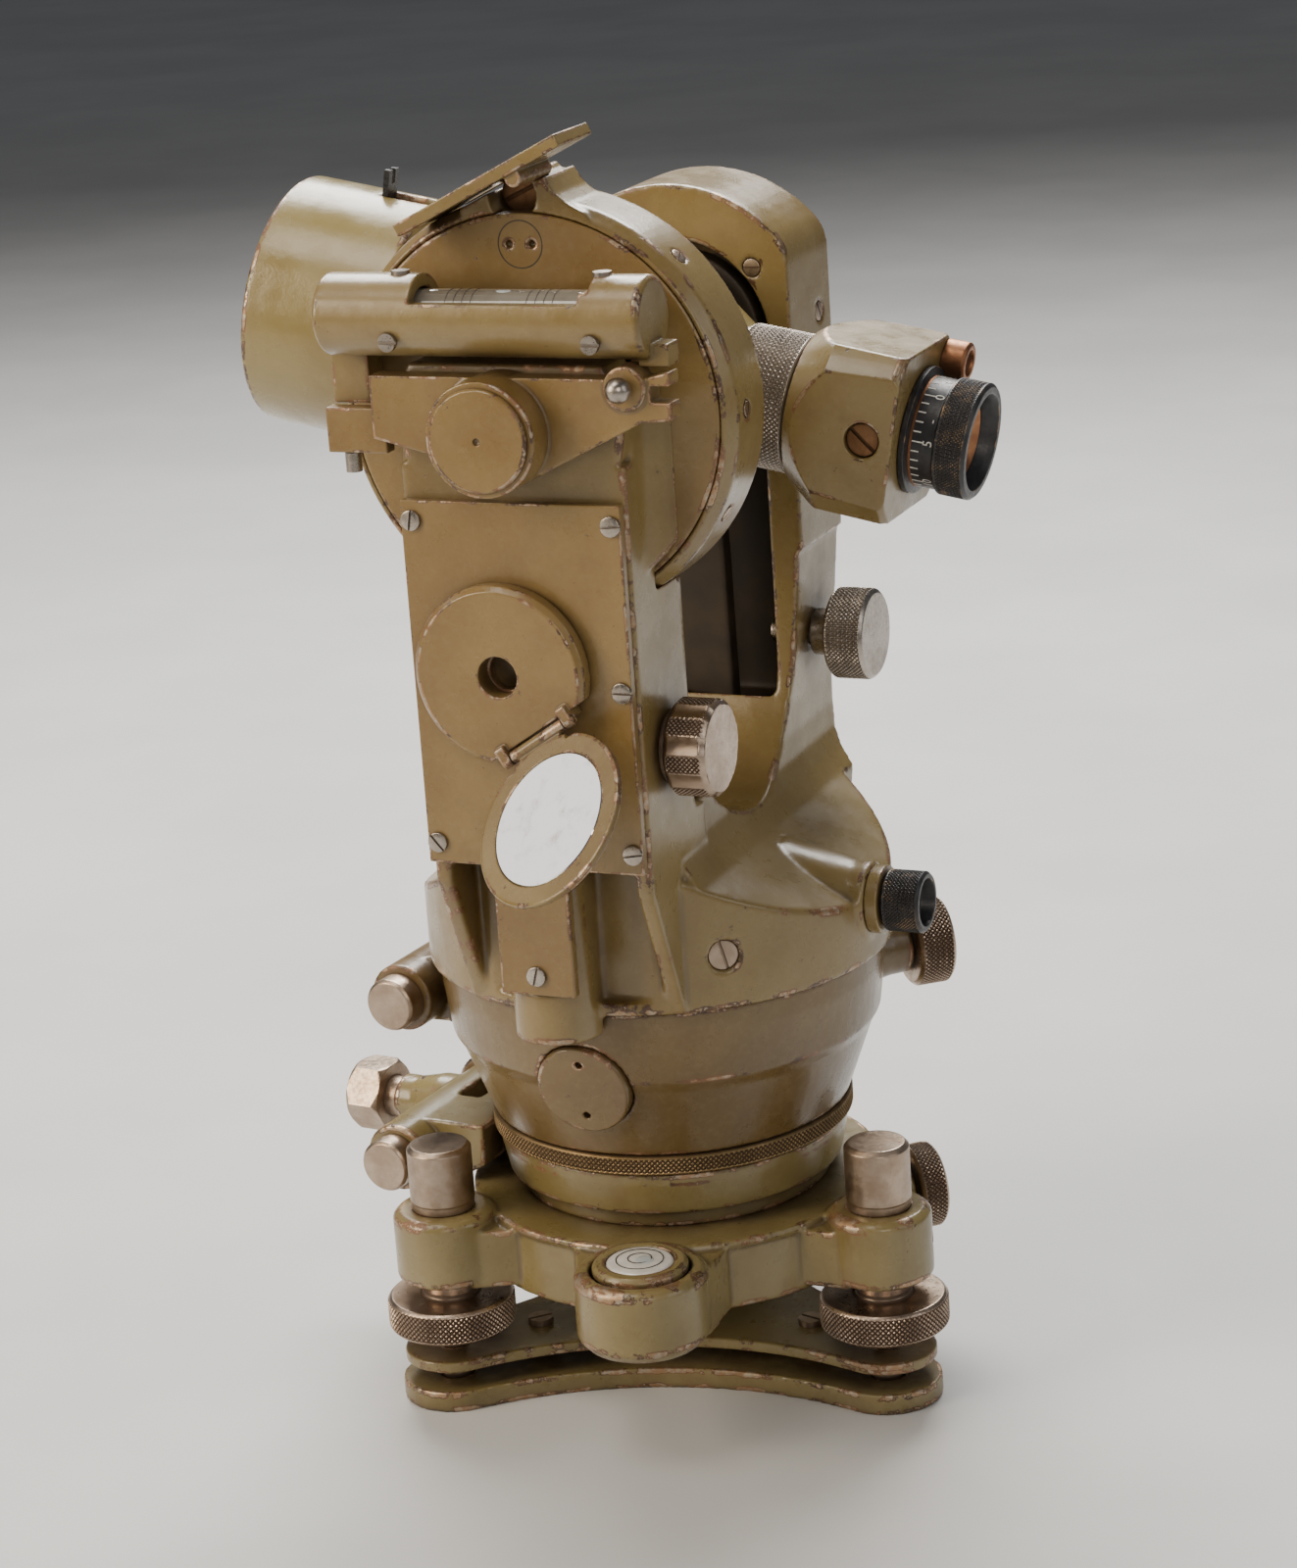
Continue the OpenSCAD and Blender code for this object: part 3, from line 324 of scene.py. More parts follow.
# ---------------------------------------------------------------- mesh tools
def curvature(me, rounds=3):
    n = len(me.vertices)
    co = np.empty(n * 3); me.vertices.foreach_get("co", co); co = co.reshape(-1, 3)
    nr = np.empty(n * 3); me.vertex_normals.foreach_get("vector", nr); nr = nr.reshape(-1, 3)
    e = np.empty(len(me.edges) * 2, np.int32); me.edges.foreach_get("vertices", e); e = e.reshape(-1, 2)
    a, b = e[:, 0], e[:, 1]
    deg = np.maximum(1, np.bincount(e.ravel(), minlength=n))
    def avg(v):
        return (np.bincount(a, v[b], n) + np.bincount(b, v[a], n)) / deg
    L = np.stack([avg(co[:, k]) - co[:, k] for k in range(3)], 1)
    el = np.linalg.norm(co[a] - co[b], axis=1) ** 2
    e2 = (np.bincount(a, el, n) + np.bincount(b, el, n)) / deg
    h = -(L * nr).sum(1) / np.maximum(e2, 1e-12) * 4 * MM
    for _ in range(rounds):
        h = 0.5 * h + 0.5 * avg(h)
    at = me.attributes.new("cv", "FLOAT", "POINT")
    at.data.foreach_set("value", h.astype(np.float32))


def finish_piece(ob, mat, body, replaces=()):
    ob.data.materials.clear()
    ob.data.materials.append(MAT[mat] if isinstance(mat, str) else mat)
    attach(ob, body)
    if replaces:
        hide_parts(*replaces)
    return ob


def new_object(name, me):
    ob = bpy.data.objects.new(name, me)
    bpy.context.scene.collection.objects.link(ob)
    return ob


def smooth_all(me):
    me.polygons.foreach_set("use_smooth", [True] * len(me.polygons))


def cast(node, voxel, rounds=6, mat="paint", lumps=0.0, extra=()):
    """A casting: the CAD node's shape with its edges rounded and its corners filled, as paint and sand casting leave them."""
    me = NODES[node].data.copy()
    bm = bmesh.new(); bm.from_mesh(me)
    bmesh.ops.remove_doubles(bm, verts=bm.verts, dist=2e-6)
    bm.to_mesh(me); bm.free()
    me.materials.clear()
    ob = new_object(node + "_look", me)
    r = ob.modifiers.new("r", "REMESH"); r.mode = "VOXEL"; r.voxel_size = voxel * MM; r.use_smooth_shade = True
    s = ob.modifiers.new("s", "SMOOTH"); s.factor = 0.5; s.iterations = rounds
    dg = bpy.context.evaluated_depsgraph_get()
    out = bpy.data.meshes.new_from_object(ob.evaluated_get(dg))
    bpy.data.objects.remove(ob)
    for f in extra:
        f(out)
    smooth_all(out)
    curvature(out)
    ob = new_object(node + "_look", out)
    return finish_piece(ob, mat, BODY_OF[node], (node,))


def keep(node, mat, auto=True):
    """A CAD node shown as it is, with a finished material."""
    ob = NODES[node]
    ob.data.materials.clear()
    ob.data.materials.append(MAT[mat])
    return ob


def edged(node, width, mat, angle=32, seg=2):
    """A machined piece: a copy of the CAD node with small true chamfers, so its edges catch light."""
    me = NODES[node].data.copy()
    bm = bmesh.new(); bm.from_mesh(me)
    bmesh.ops.remove_doubles(bm, verts=bm.verts, dist=2e-6)
    bmesh.ops.dissolve_limit(bm, angle_limit=math.radians(0.4), verts=bm.verts, edges=bm.edges)
    bm.to_mesh(me); bm.free()
    me.materials.clear()
    ob = new_object(node + "_look", me)
    b = ob.modifiers.new("b", "BEVEL"); b.width = width * MM; b.segments = seg; b.limit_method = "ANGLE"; b.angle_limit = math.radians(angle); b.harden_normals = True
    dg = bpy.context.evaluated_depsgraph_get()
    out = bpy.data.meshes.new_from_object(ob.evaluated_get(dg))
    bpy.data.objects.remove(ob)
    at = out.attributes.new("cv", "FLOAT", "POINT"); at.data.foreach_set("value", np.zeros(len(out.vertices), np.float32))
    ob = new_object(node + "_look", out)
    return finish_piece(ob, mat, BODY_OF[node], (node,))


def rounded(prof, r, seg=3):
    """Profile points (radius, height) with each inner corner rounded by r."""
    out = [prof[0]]
    for i in range(1, len(prof) - 1):
        p, a, b = Vector(prof[i]), Vector(prof[i - 1]), Vector(prof[i + 1])
        u, v = (a - p), (b - p)
        d = min(r, u.length * 0.45, v.length * 0.45)
        if d < 1e-4 or abs(u.normalized().dot(v.normalized())) > 0.9995:
            out.append(tuple(p)); continue
        p0, p1 = p + u.normalized() * d, p + v.normalized() * d
        e0, e1 = min(0.35, u.length * 0.49 - d), min(0.35, v.length * 0.49 - d)
        if e0 > 0.08:
            q = p + u.normalized() * (d + e0); out.append((q.x, q.y))
        for k in range(seg + 1):
            t = k / seg
            q = p0 * (1 - t) ** 2 + p * 2 * t * (1 - t) + p1 * t ** 2
            out.append((q.x, q.y))
        if e1 > 0.08:
            q = p + v.normalized() * (d + e1); out.append((q.x, q.y))
    out.append(prof[-1])
    return out


def dense(prof, step):
    out = [prof[0]]
    for a, b in zip(prof, prof[1:]):
        n = max(1, int(math.ceil(math.hypot(b[0] - a[0], b[1] - a[1]) / step)))
        out += [(a[0] + (b[0] - a[0]) * k / n, a[1] + (b[1] - a[1]) * k / n) for k in range(1, n + 1)]
    return out


def lathe(name, prof, M, mat, body, replaces=(), n=96, step=None, knurl=None, shape=None, closed=False, more=None):
    """Turned piece. prof is (radius, height) in mm from the axis outwards. knurl = (z0, z1, r_min, pitch, depth, mask) cuts diamond grooves."""
    p = dense(prof, step) if step else list(prof)
    if knurl:
        z0, z1, rmin, pitch, depth = knurl[:5]
        mask = knurl[5] if len(knurl) > 5 else None
        q = [p[0]]
        for a, b in zip(p, p[1:]):
            if min(a[0], b[0]) >= rmin and abs(a[1] - b[1]) > pitch / 5:
                k = int(math.ceil(abs(a[1] - b[1]) / (pitch / 5)))
                q += [(a[0] + (b[0] - a[0]) * i / k, a[1] + (b[1] - a[1]) * i / k) for i in range(1, k + 1)]
            else:
                q.append(b)
        p = q
        R = max(x[0] for x in p)
        N = round(2 * math.pi * R / pitch)
        n = N * 6
        real_pitch = 2 * math.pi * R / N
    p = np.array(p, float)
    th = np.arange(n) * 2 * math.pi / n
    rr = np.repeat(p[:, :1], n, 1)
    zz = np.repeat(p[:, 1:2], n, 1)
    gv = np.zeros_like(rr)
    TH = np.repeat(th[None, :], len(p), 0)
    if knurl:
        a = (N * TH / (2 * math.pi) + zz / real_pitch) % 1.0
        b = (N * TH / (2 * math.pi) - zz / real_pitch) % 1.0
        g = np.maximum(1 - np.minimum(a, 1 - a) / 0.34, 1 - np.minimum(b, 1 - b) / 0.34).clip(0, 1)
        m = ((zz >= z0) & (zz <= z1) & (rr >= rmin)).astype(float)
        m *= np.clip(np.minimum(zz - z0, z1 - zz) / 0.25, 0, 1)
        if mask is not None:
            m *= mask(TH, zz)
        gv = g * m
        rr = rr - depth * gv
    if shape is not None:
        rr = rr - shape(TH, zz, rr)
    pts = np.stack([rr * np.cos(TH), rr * np.sin(TH), zz], 2).reshape(-1, 3) * MM
    keep_rows = len(p)
    verts = [M @ Vector(v) for v in pts]
    faces = []
    rows = list(range(keep_rows - 1)) + ([keep_rows - 1] if closed else [])
    for i in rows:
        i2 = (i + 1) % keep_rows
        for j in range(n):
            k = (j + 1) % n
            faces.append((i * n + j, i * n + k, i2 * n + k, i2 * n + j))
    me = bpy.data.meshes.new(name)
    me.from_pydata([tuple(v) for v in verts], [], faces)
    at = me.attributes.new("gv", "FLOAT", "POINT")
    at.data.foreach_set("value", gv.reshape(-1).astype(np.float32))
    bm = bmesh.new(); bm.from_mesh(me)
    bmesh.ops.remove_doubles(bm, verts=bm.verts, dist=1e-7)
    bmesh.ops.recalc_face_normals(bm, faces=bm.faces)
    bm.to_mesh(me); bm.free()
    smooth_all(me)
    me.set_sharp_from_angle(angle=math.radians(38))
    curvature(me, 1)
    ob = new_object(name, me)
    return finish_piece(ob, mat, body, replaces)


def join_meshes(name, obs):
    bpy.ops.object.select_all(action="DESELECT")
    for o in obs:
        o.select_set(True)
    bpy.context.view_layer.objects.active = obs[0]
    bpy.ops.object.join()
    obs[0].name = name
    return obs[0]


def solid(name, verts, faces, M, mat, body, bevel=0.0, replaces=()):
    me = bpy.data.meshes.new(name)
    me.from_pydata([tuple(M @ (Vector(v) * MM)) for v in verts], [], faces)
    bm = bmesh.new(); bm.from_mesh(me)
    bmesh.ops.recalc_face_normals(bm, faces=bm.faces)
    if bevel:
        bmesh.ops.bevel(bm, geom=list(bm.edges), offset=bevel * MM, segments=2, affect="EDGES", profile=0.6)
    bm.to_mesh(me); bm.free()
    smooth_all(me)
    me.set_sharp_from_angle(angle=math.radians(50))
    ob = new_object(name, me)
    return finish_piece(ob, mat, body, replaces)


def block(name, lo, hi, M, mat, body, bevel=0.0, replaces=()):
    (x0, y0, z0), (x1, y1, z1) = lo, hi
    v = [(x, y, z) for z in (z0, z1) for y in (y0, y1) for x in (x0, x1)]
    f = [(0, 2, 3, 1), (4, 5, 7, 6), (0, 1, 5, 4), (2, 6, 7, 3), (0, 4, 6, 2), (1, 3, 7, 5)]
    return solid(name, v, f, M, mat, body, bevel, replaces)


def wrap_text(text, size, radius, theta, s, M, name, body, thick=0.06):
    """Generic dial figure, laid on a cylinder of the given radius at angle theta and height s."""
    cu = bpy.data.curves.new(name, "FONT")
    cu.body = text; cu.size = size * MM; cu.align_x = "CENTER"; cu.align_y = "CENTER"; cu.resolution_u = 3
    tmp = bpy.data.objects.new(name, cu)
    bpy.context.scene.collection.objects.link(tmp)
    dg = bpy.context.evaluated_depsgraph_get()
    me = bpy.data.meshes.new_from_object(tmp.evaluated_get(dg))
    bpy.data.objects.remove(tmp)
    for v in me.vertices:
        x, y = v.co.x / MM, v.co.y / MM
        a = theta - x / radius
        r = radius + thick
        v.co = M @ (Vector((r * math.cos(a), r * math.sin(a), s - y)) * MM)
    me.materials.clear()
    ob = new_object(name, me)
    return finish_piece(ob, "white_mark", body)


# ---------------------------------------------------------------- camera, floor, light
AZ, EL, ROLL, DIST, F = 0.41585595874625697, 0.2989890936488103, 0.06819816451148238, 0.91078, 3941.864
right = Vector((math.cos(AZ), math.sin(AZ), 0))
fwd = Vector((-math.sin(AZ) * math.cos(EL), math.cos(AZ) * math.cos(EL), -math.sin(EL)))
up = right.cross(fwd)
target = right * -0.000776 + Vector((0, 0, 0.142605))
cam_x = right * math.cos(ROLL) - up * math.sin(ROLL)
cam_y = right * math.sin(ROLL) + up * math.cos(ROLL)
cam = bpy.data.cameras.new("camera")
cam.sensor_width = 36.0
cam.sensor_fit = "AUTO"
cam.lens = F / 1600 * 36.0
cam.clip_start = 0.01
cam_ob = bpy.data.objects.new("camera", cam)
mw = Matrix((cam_x, cam_y, -fwd)).transposed().to_4x4()
mw.translation = target - fwd * DIST
cam_ob.matrix_world = mw
bpy.context.scene.collection.objects.link(cam_ob)
bpy.context.scene.camera = cam_ob


def area(name, loc, aim, size, watts, colour, size_y=None):
    l = bpy.data.lights.new(name, "AREA")
    l.shape = "RECTANGLE"; l.size = size; l.size_y = size_y or size
    l.energy = watts; l.color = colour
    o = bpy.data.objects.new(name, l)
    o.location = loc
    o.rotation_euler = (Vector(aim) - Vector(loc)).to_track_quat("-Z", "Y").to_euler()
    bpy.context.scene.collection.objects.link(o)
    return o


aim = (0, 0, 0.15)
area("key_left", (-0.80, -0.80, 0.66), aim, 0.5, 12.5, (1.0, 0.86, 0.68), 0.75)
area("top_back", (-0.30, 0.75, 1.10), aim, 1.0, 36.0, (1.0, 0.985, 0.95), 0.7)
area("top_front", (-0.25, -0.45, 1.25), aim, 0.5, 4.5, (1.0, 0.93, 0.84))
area("fill_right", (1.10, -0.15, 0.65), aim, 0.5, 1.9, (0.98, 0.97, 0.96), 0.8)
area("front_soft", (0.70, -1.15, 0.75), aim, 0.6, 4.2, (1.0, 0.91, 0.80))
mg = NODES["mirror_glass"].data
big = max(mg.polygons, key=lambda p: p.area)
nrm = Vector(big.normal).normalized()
mid = sum((mg.vertices[v].co for v in big.vertices), Vector()) / len(big.vertices)
view_dir = (mid - mw.translation).normalized()
if nrm.dot(view_dir) > 0:
    nrm = -nrm
bounce = (view_dir - 2 * view_dir.dot(nrm) * nrm).normalized()
if bounce.z > -0.05:
    area("mirror_box", mid + bounce * 0.9 + Vector((0, 0, 0.05)), mid, 0.16, 0.22, (1.0, 0.96, 0.93), 0.30)
world = bpy.data.worlds.new("studio")
bpy.context.scene.world = world
world.use_nodes = True
world.node_tree.nodes["Background"].inputs[0].default_value = (0.80, 0.84, 0.90, 1)
world.node_tree.nodes["Background"].inputs[1].default_value = 0.12

fl = Tree("pale_floor")
ff = fl.noise(6, 4, 0.6)
fl.link(fl.mix(fl.ramp(ff, 0.3, 0.7), (0.52, 0.52, 0.52), (0.58, 0.58, 0.575)), fl.b, "Base Color")
fl.b.inputs["Roughness"].default_value = 0.65
bpy.ops.mesh.primitive_grid_add(x_subdivisions=2, y_subdivisions=2, size=8.0, location=(0, 0, -0.00005))
floor = bpy.context.object
floor.name = "floor"
floor.data.materials.append(fl.m)

# ---------------------------------------------------------------- castings
CAST = [
    ("base_plate", 0.5, 5, "paint_lit_base"), ("spring_plate", 0.45, 3, "paint_lit_base"), ("tribrach", 0.5, 9, "paint_lit_base"),
    ("circular_level_cup", 0.25, 3, "paint_lit_base"), ("base_ring", 0.45, 4, "paint_lit_base"), ("clamp_bracket", 0.4, 8, "paint_lit_base"),
    ("lower_housing", 0.5, 6, "paint_shaded_low"), ("two_hole_cover", 0.25, 3, "paint_shaded_low"), ("alidade_casting", 0.6, 9, "paint"),
    ("plummet_tube", 0.25, 3, "paint"), ("circle_housing", 0.45, 7, "paint"), ("circle_cover", 0.35, 3, "paint_warm_lit_front"),
    ("near_panel", 0.3, 6, "paint_warm_lit_front"), ("illumination_disc", 0.2, 3, "paint_warm_lit_front"), ("mirror_flap", 0.2, 3, "paint"),
    ("reader_plate", 0.25, 5, "paint"), ("level_carrier", 0.3, 6, "paint_warm_lit_front"), ("pivot_cap", 0.2, 3, "paint_warm_lit_front"),
    # the elevation arm gets the near-black material: painted shade for the slot it sits in
    ("level_tube", 0.28, 5, "paint"), ("far_cover", 0.35, 3, "paint"), ("elevation_arm", 0.5, 4, "shade_black"),
    ("telescope_body", 0.5, 4, "paint_lit_hood"), ("eyepiece_block", 0.3, 5, "paint"),
]
for node, voxel, rounds, mat in CAST:
    cast(node, voxel, rounds, mat)


def line_faces(name, boxes, mat):
    """Gives the faces inside the boxes (mm) a second material: near-black, painted shade standing in for the dark
    inside of a hollow.
    """
    ob = bpy.data.objects[name]
    me = ob.data
    me.materials.append(MAT[mat])
    n = len(me.polygons)
    c = np.empty(n * 3); me.polygons.foreach_get("center", c); c = c.reshape(-1, 3) / MM
    idx = np.empty(n, np.int32); me.polygons.foreach_get("material_index", idx)
    for (x0, y0, z0), (x1, y1, z1) in boxes:
        k = (c[:, 0] > x0) & (c[:, 0] < x1) & (c[:, 1] > y0) & (c[:, 1] < y1) & (c[:, 2] > z0) & (c[:, 2] < z1)
        idx[k] = len(me.materials) - 1
    me.polygons.foreach_set("material_index", idx)


# painted shade inside the hollows of the far and near standards
line_faces("alidade_casting_look", [((-21.9, 30.6, 150.4), (21.9, 54.6, 262)), ((-21, -59.6, 145.4), (21, -36.4, 222.6))], "shade_black")

# ---------------------------------------------------------------- foot screws, caps
for tag, a in zip(("left", "right", "rear"), FEET):
    R = 15.3
    prof = rounded([(0, 2.75), (2.6, 3.1), (4.35, 5.6), (4.35, 9.0), (2.8, 10.6), (2.8, 18), (R - 1.0, 18), (R, 19.0), (R, 25.0), (R - 1.0, 26), (6.9, 26), (6.3, 26.8), (6.2, 30.7), (4, 30.7), (4, 58), (0, 58)], 0.25)
    lathe("foot_screw_" + tag + "_look", prof, foot(a), "nickel", "foot_" + tag, ("foot_screw_" + tag,), knurl=(18.7, 25.3, R - 0.25, 1.30, 0.52))
for i, a in enumerate(FEET):
    z = 48
    prof = rounded([(5.6, z + 13), (5.6, z), (7.45, z), (7.55, z + 2.0), (7.7, z + 2.3), (7.7, z + 14.9), (6.7, z + 16), (0, z + 16.0)], 0.22)
    o = lathe("foot_cap_%d" % i, prof, foot(a), "steel", "base", (), n=96, step=1.2)
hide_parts("foot_caps")
# small pin hole in one cap: a flat near-black disc, painted shade standing in for the hole
lathe("cap_pin_hole", rounded([(0, 0.05), (0.62, 0.05), (0.66, 0.0)], 0.02), foot(FEET[1]) @ T(0, 0, 53) @ RZ(-70) @ RY(90) @ T(0, 0, 7.62), "hole_shade", "base", (), n=24)


def slot_screw(name, M, r, h, turn, body, mat="bright", slot_w=0.55, deep=0.45, dome=0.15):
    """Cheese-head screw with a real slot."""
    rr = rounded([(0, h + dome), (r * 0.6, h + dome * 0.7), (r - 0.05, h), (r, h - 0.25), (r, 0)], 0.12)
    n = 48
    verts, faces = [], []
    for (a, z) in rr:
        for j in range(n):
            t = 2 * math.pi * j / n
            verts.append((a * math.cos(t), a * math.sin(t), z))
    for i in range(len(rr) - 1):
        for j in range(n):
            k = (j + 1) % n
            faces.append((i * n + j, (i + 1) * n + j, (i + 1) * n + k, i * n + k))
    me = bpy.data.meshes.new(name)
    me.from_pydata(verts, [], faces)
    bm = bmesh.new(); bm.from_mesh(me)
    bmesh.ops.remove_doubles(bm, verts=bm.verts, dist=1e-4)
    # cut the slot: two planes, then lower what lies between them
    for s in (-1, 1):
        bmesh.ops.bisect_plane(bm, geom=list(bm.verts) + list(bm.edges) + list(bm.faces), plane_co=(0, s * slot_w / 2, 0), plane_no=(0, 1, 0))
        bmesh.ops.bisect_plane(bm, geom=list(bm.verts) + list(bm.edges) + list(bm.faces), plane_co=(0, s * (slot_w / 2 - 0.04), 0), plane_no=(0, 1, 0))
    for v in bm.verts:
        if abs(v.co.y) < slot_w / 2 - 0.03 and v.co.z > h - 0.8:
            v.co.z = min(v.co.z, h - deep)
    bmesh.ops.recalc_face_normals(bm, faces=bm.faces)
    bmesh.ops.transform(bm, matrix=M @ RZ(turn) @ Matrix.Scale(MM, 4), verts=bm.verts)
    bm.to_mesh(me); bm.free()
    smooth_all(me)
    me.set_sharp_from_angle(angle=math.radians(35))
    ob = new_object(name, me)
    return finish_piece(ob, mat, body, ())


# screws of the panel, housing and standards, in place of the CAD group
PANEL = [(-23.6, 221.8, 80), (23.6, 221.8, 5), (23.6, 185, 0), (-23.6, 148.2, -50), (23.6, 148.2, 10), (-2, 118, 75)]
for i, (x, z, t) in enumerate(PANEL):
    slot_screw("panel_screw_%d" % i, front(x, -66.0, z), 2.3, 0.85, t, "alidade")
for i, a in enumerate((45, 0, 135, 200, 330)):
    M = front(0, -41.5, TZ) @ RY(90) @ RX(-a)
    slot_screw("rim_screw_%d" % i, M @ T(0, 0, 45.9), 1.8, 0.75, 20 + 50 * i, "alidade", "steel", 0.45)
slot_screw("drum_screw", RZ(-52) @ right_of(53.9, 0, 117.6), 3.5, 0.7, 15, "alidade", "steel", 0.7)
slot_screw("far_side_screw", right_of(28.4, 50, 246), 2.3, 0.9, 30, "alidade", "steel")
for i, a in enumerate((40, 160, 335)):
    slot_screw("bearing_screw_%d" % i, front(27 * math.cos(math.radians(a)), 30.9, TZ + 27 * math.sin(math.radians(a))), 2.1, 0.8, 30 * i, "alidade", "steel")
slot_screw("block_screw", tele(64.7) @ RX(90) @ T(0, 0, 16.8), 3.7, 1.0, 55, "telescope", "rust", 0.9, 0.6)
slot_screw("recess_screw", front(-1.4, -42.5, 289.6), 4.4, 2.4, 25, "alidade", "rust", 1.0, 0.7)
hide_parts("alidade_screws")

# ---------------------------------------------------------------- knobs
lathe("lock_knob_look", rounded([(0, -13), (3, -13), (3, 0), (9.5, 0), (10.4, 0.9), (10.4, 5.9), (9.5, 6.8), (0, 6.8)], 0.25),
      RZ(41.5) @ right_of(52, -20, 36.8), "nickel", "tribrach_lock", ("lock_knob",), knurl=(0.7, 6.1, 10.1, 1.15, 0.46))
lathe("upper_clamp_knob_look", rounded([(0, -13), (3, -13), (3, 0), (9.7, 0), (10.7, 1.0), (10.7, 8.2), (9.7, 9.2), (8.6, 9.25), (8.3, 9.0), (0, 9.0)], 0.25),
      RZ(KNOB) @ right_of(61.8, 0, 92.4), "nickel", "upper_clamp", ("upper_clamp_knob",), knurl=(0.8, 8.4, 10.4, 1.15, 0.46))
for nm, x, y, z, ln, body in (("lower", 58, -9.8, 52.6, 19, "lower_tangent"), ("upper", 56, -28.2, 92.4, 34, "upper_tangent")):
    lathe(nm + "_tangent_screw_look", rounded([(0, -ln), (3, -ln), (3, 0), (9.5, 0), (10.4, 0.9), (10.4, 7.6), (9.5, 8.5), (0, 8.5)], 0.25),
          RZ(CLAMP) @ T(x, y, z) @ RX(90), "nickel", body, (nm + "_tangent_screw",), knurl=(0.8, 7.7, 10.1, 1.15, 0.46))
    yc, zc, hc = (35, 52.6, 5.9) if nm == "lower" else (30, 92.4, 5.7)
    lathe(nm + "_tangent_cap_look", rounded([(0, 0), (6.4, 0), (6.4, hc - 0.7), (5.7, hc), (0, hc)], 0.2), RZ(CLAMP) @ T(x, yc, zc) @ RX(-90),
          "steel", "base" if nm == "lower" else "alidade", (nm + "_tangent_cap",), step=1.0)


def pitch_mask(lo, hi):
    def f(th, z):
        t = (np.degrees(th)) % 360
        m = np.zeros_like(t)
        for a, b in zip(lo, hi):
            d = np.minimum((t - a) % 360, (b - t) % 360)
            inside = ((t - a) % 360) <= ((b - a) % 360)
            m = np.maximum(m, np.where(inside, np.clip(d / 4.0, 0, 1), 0))
        return m
    return f


# index knob: polished flutes with knurled lands between them
def flutes(th, z, r):
    t = (np.degrees(th) - 17) % 45
    u = np.clip(1 - ((t - 10.5) / 10.5) ** 2, 0, None)
    return np.where(r > 9.6, 0.62 * u, 0.0)


lathe("index_knob_look", rounded([(0, -13), (3, -13), (3, -1.7), (8.2, -1.7), (8.2, 0), (9.9, 0), (11.1, 1.2), (11.1, 8.8), (9.9, 10), (0, 10)], 0.3),
      right_of(28.4, -48, 168), "nickel", "index_screw", ("index_knob",),
      knurl=(0.9, 9.1, 10.8, 1.10, 0.44, pitch_mask([45 * k - 7 for k in range(8)], [45 * k + 17 for k in range(8)])), shape=flutes)
lathe("elevation_knob_look", rounded([(0, -16), (3, -16), (3, -5), (5.6, -5), (5.6, 0), (10, 0), (11, 1.0), (11, 9), (10, 10), (0, 10)], 0.3),
      right_of(32.2, 43, 169.4), "bright", "elevation_screw", ("elevation_knob",), knurl=(0.8, 9.2, 10.7, 1.15, 0.44))
lathe("focusing_ring_look", rounded([(15.06, 0.2), (15.5, 0.0), (15.9, 0.5), (15.9, 14.3), (15.5, 14.8), (15.06, 14.6)], 0.15) + [(15.06, 0.2)],
      tele(30), "bright", "focus_ring", ("focusing_ring",), knurl=(0.5, 14.3, 15.7, 1.20, 0.40))
lathe("setting_ring_look", rounded([(39.06, 2.8), (39.06, 0.1), (43.0, 0), (43.5, 0.5), (43.5, 4.1), (43.0, 4.6), (19.4, 4.6), (19.4, 29), (17.2, 29), (17.2, 2.8)], 0.2) + [(39.06, 2.8)],
      T(0, 0, 61), "knurl_brass", "limb", ("setting_ring",), knurl=(0.5, 4.1, 43.2, 1.25, 0.42))

# hex clamp screw
def hexshape(th, z, r):
    t = (np.degrees(th) + 30) % 60 - 30
    flat = 8.15 / np.cos(np.radians(t))
    return np.where((z > 80.9) & (r > 5), np.maximum(0, r - np.minimum(r, flat)), 0.0)


lathe("clamp_screw_hex_look", dense(rounded([(0, 66.8), (3, 66.8), (3, 78), (5, 78), (5, 81.0), (8.2, 81.0), (9.4, 82.4), (9.4, 89.0), (8.2, 90.4), (0, 90.4)], 0.15), 0.8),
      RZ(CLAMP) @ right_of(0, 0, 52.6), "steel", "lower_clamp", ("clamp_screw_hex",), n=180, shape=hexshape)

# ---------------------------------------------------------------- eyepieces
lathe("eyepiece_look", rounded([(10.9, -14), (10.9, 0), (14.4, 0), (14.4, 1.3), (12.9, 1.6), (12.4, 1.7), (12.4, 7.2), (13.2, 7.6), (13.2, 14.1), (12.5, 14.8), (10.9, 14.8), (10.2, 13.4), (9.3, 11.2), (8.9, 8.2), (5.5, 7.6), (5.5, -14)], 0.18),
      tele(71.9), "black", "eyepiece_dioptre", ("eyepiece",), knurl=(7.9, 13.9, 13.0, 0.95, 0.34))
lathe("eyepiece_inner_ring", rounded([(8.95, 8.4), (9.25, 11.0), (8.7, 11.2), (5.7, 8.6), (5.7, 8.0)], 0.1), tele(71.9), "copper", "eyepiece_dioptre", ())
lathe("eye_lens", dense([(0, 7.4), (3.0, 7.1), (5.6, 6.4), (5.6, 4.0), (0, 4.0)], 0.8), tele(71.9), "lens", "eyepiece_dioptre", ())
lathe("plummet_eyepiece_look", rounded([(2, 0), (6.1, 0), (6.5, 0.6), (7.2, 0.8), (7.2, 8.9), (6.6, 9.6), (5.6, 9.6), (4.6, 6.4), (2, 6)], 0.15),
      T(58.8, -3, 119) @ RY(90), "black", "plummet_focus", ("plummet_eyepiece",), knurl=(1.0, 8.8, 7.0, 0.9, 0.3))
lathe("plummet_lens", dense([(0, 5.8), (2.2, 5.6), (4.4, 5.2), (4.4, 4.6), (0, 4.6)], 0.7), T(58.8, -3, 119) @ RY(90), "lens", "plummet_focus", ())
lathe("reading_eyepiece_look", rounded([(0, 0), (4.6, 0), (4.6, 5), (4.0, 5.6), (3.0, 5.6), (2.6, 4.4), (0, 4.2)], 0.15), tele(71.7) @ T(-13.4, 13.6, 0), "copper", "telescope", ("reading_eyepiece",), step=0.8)

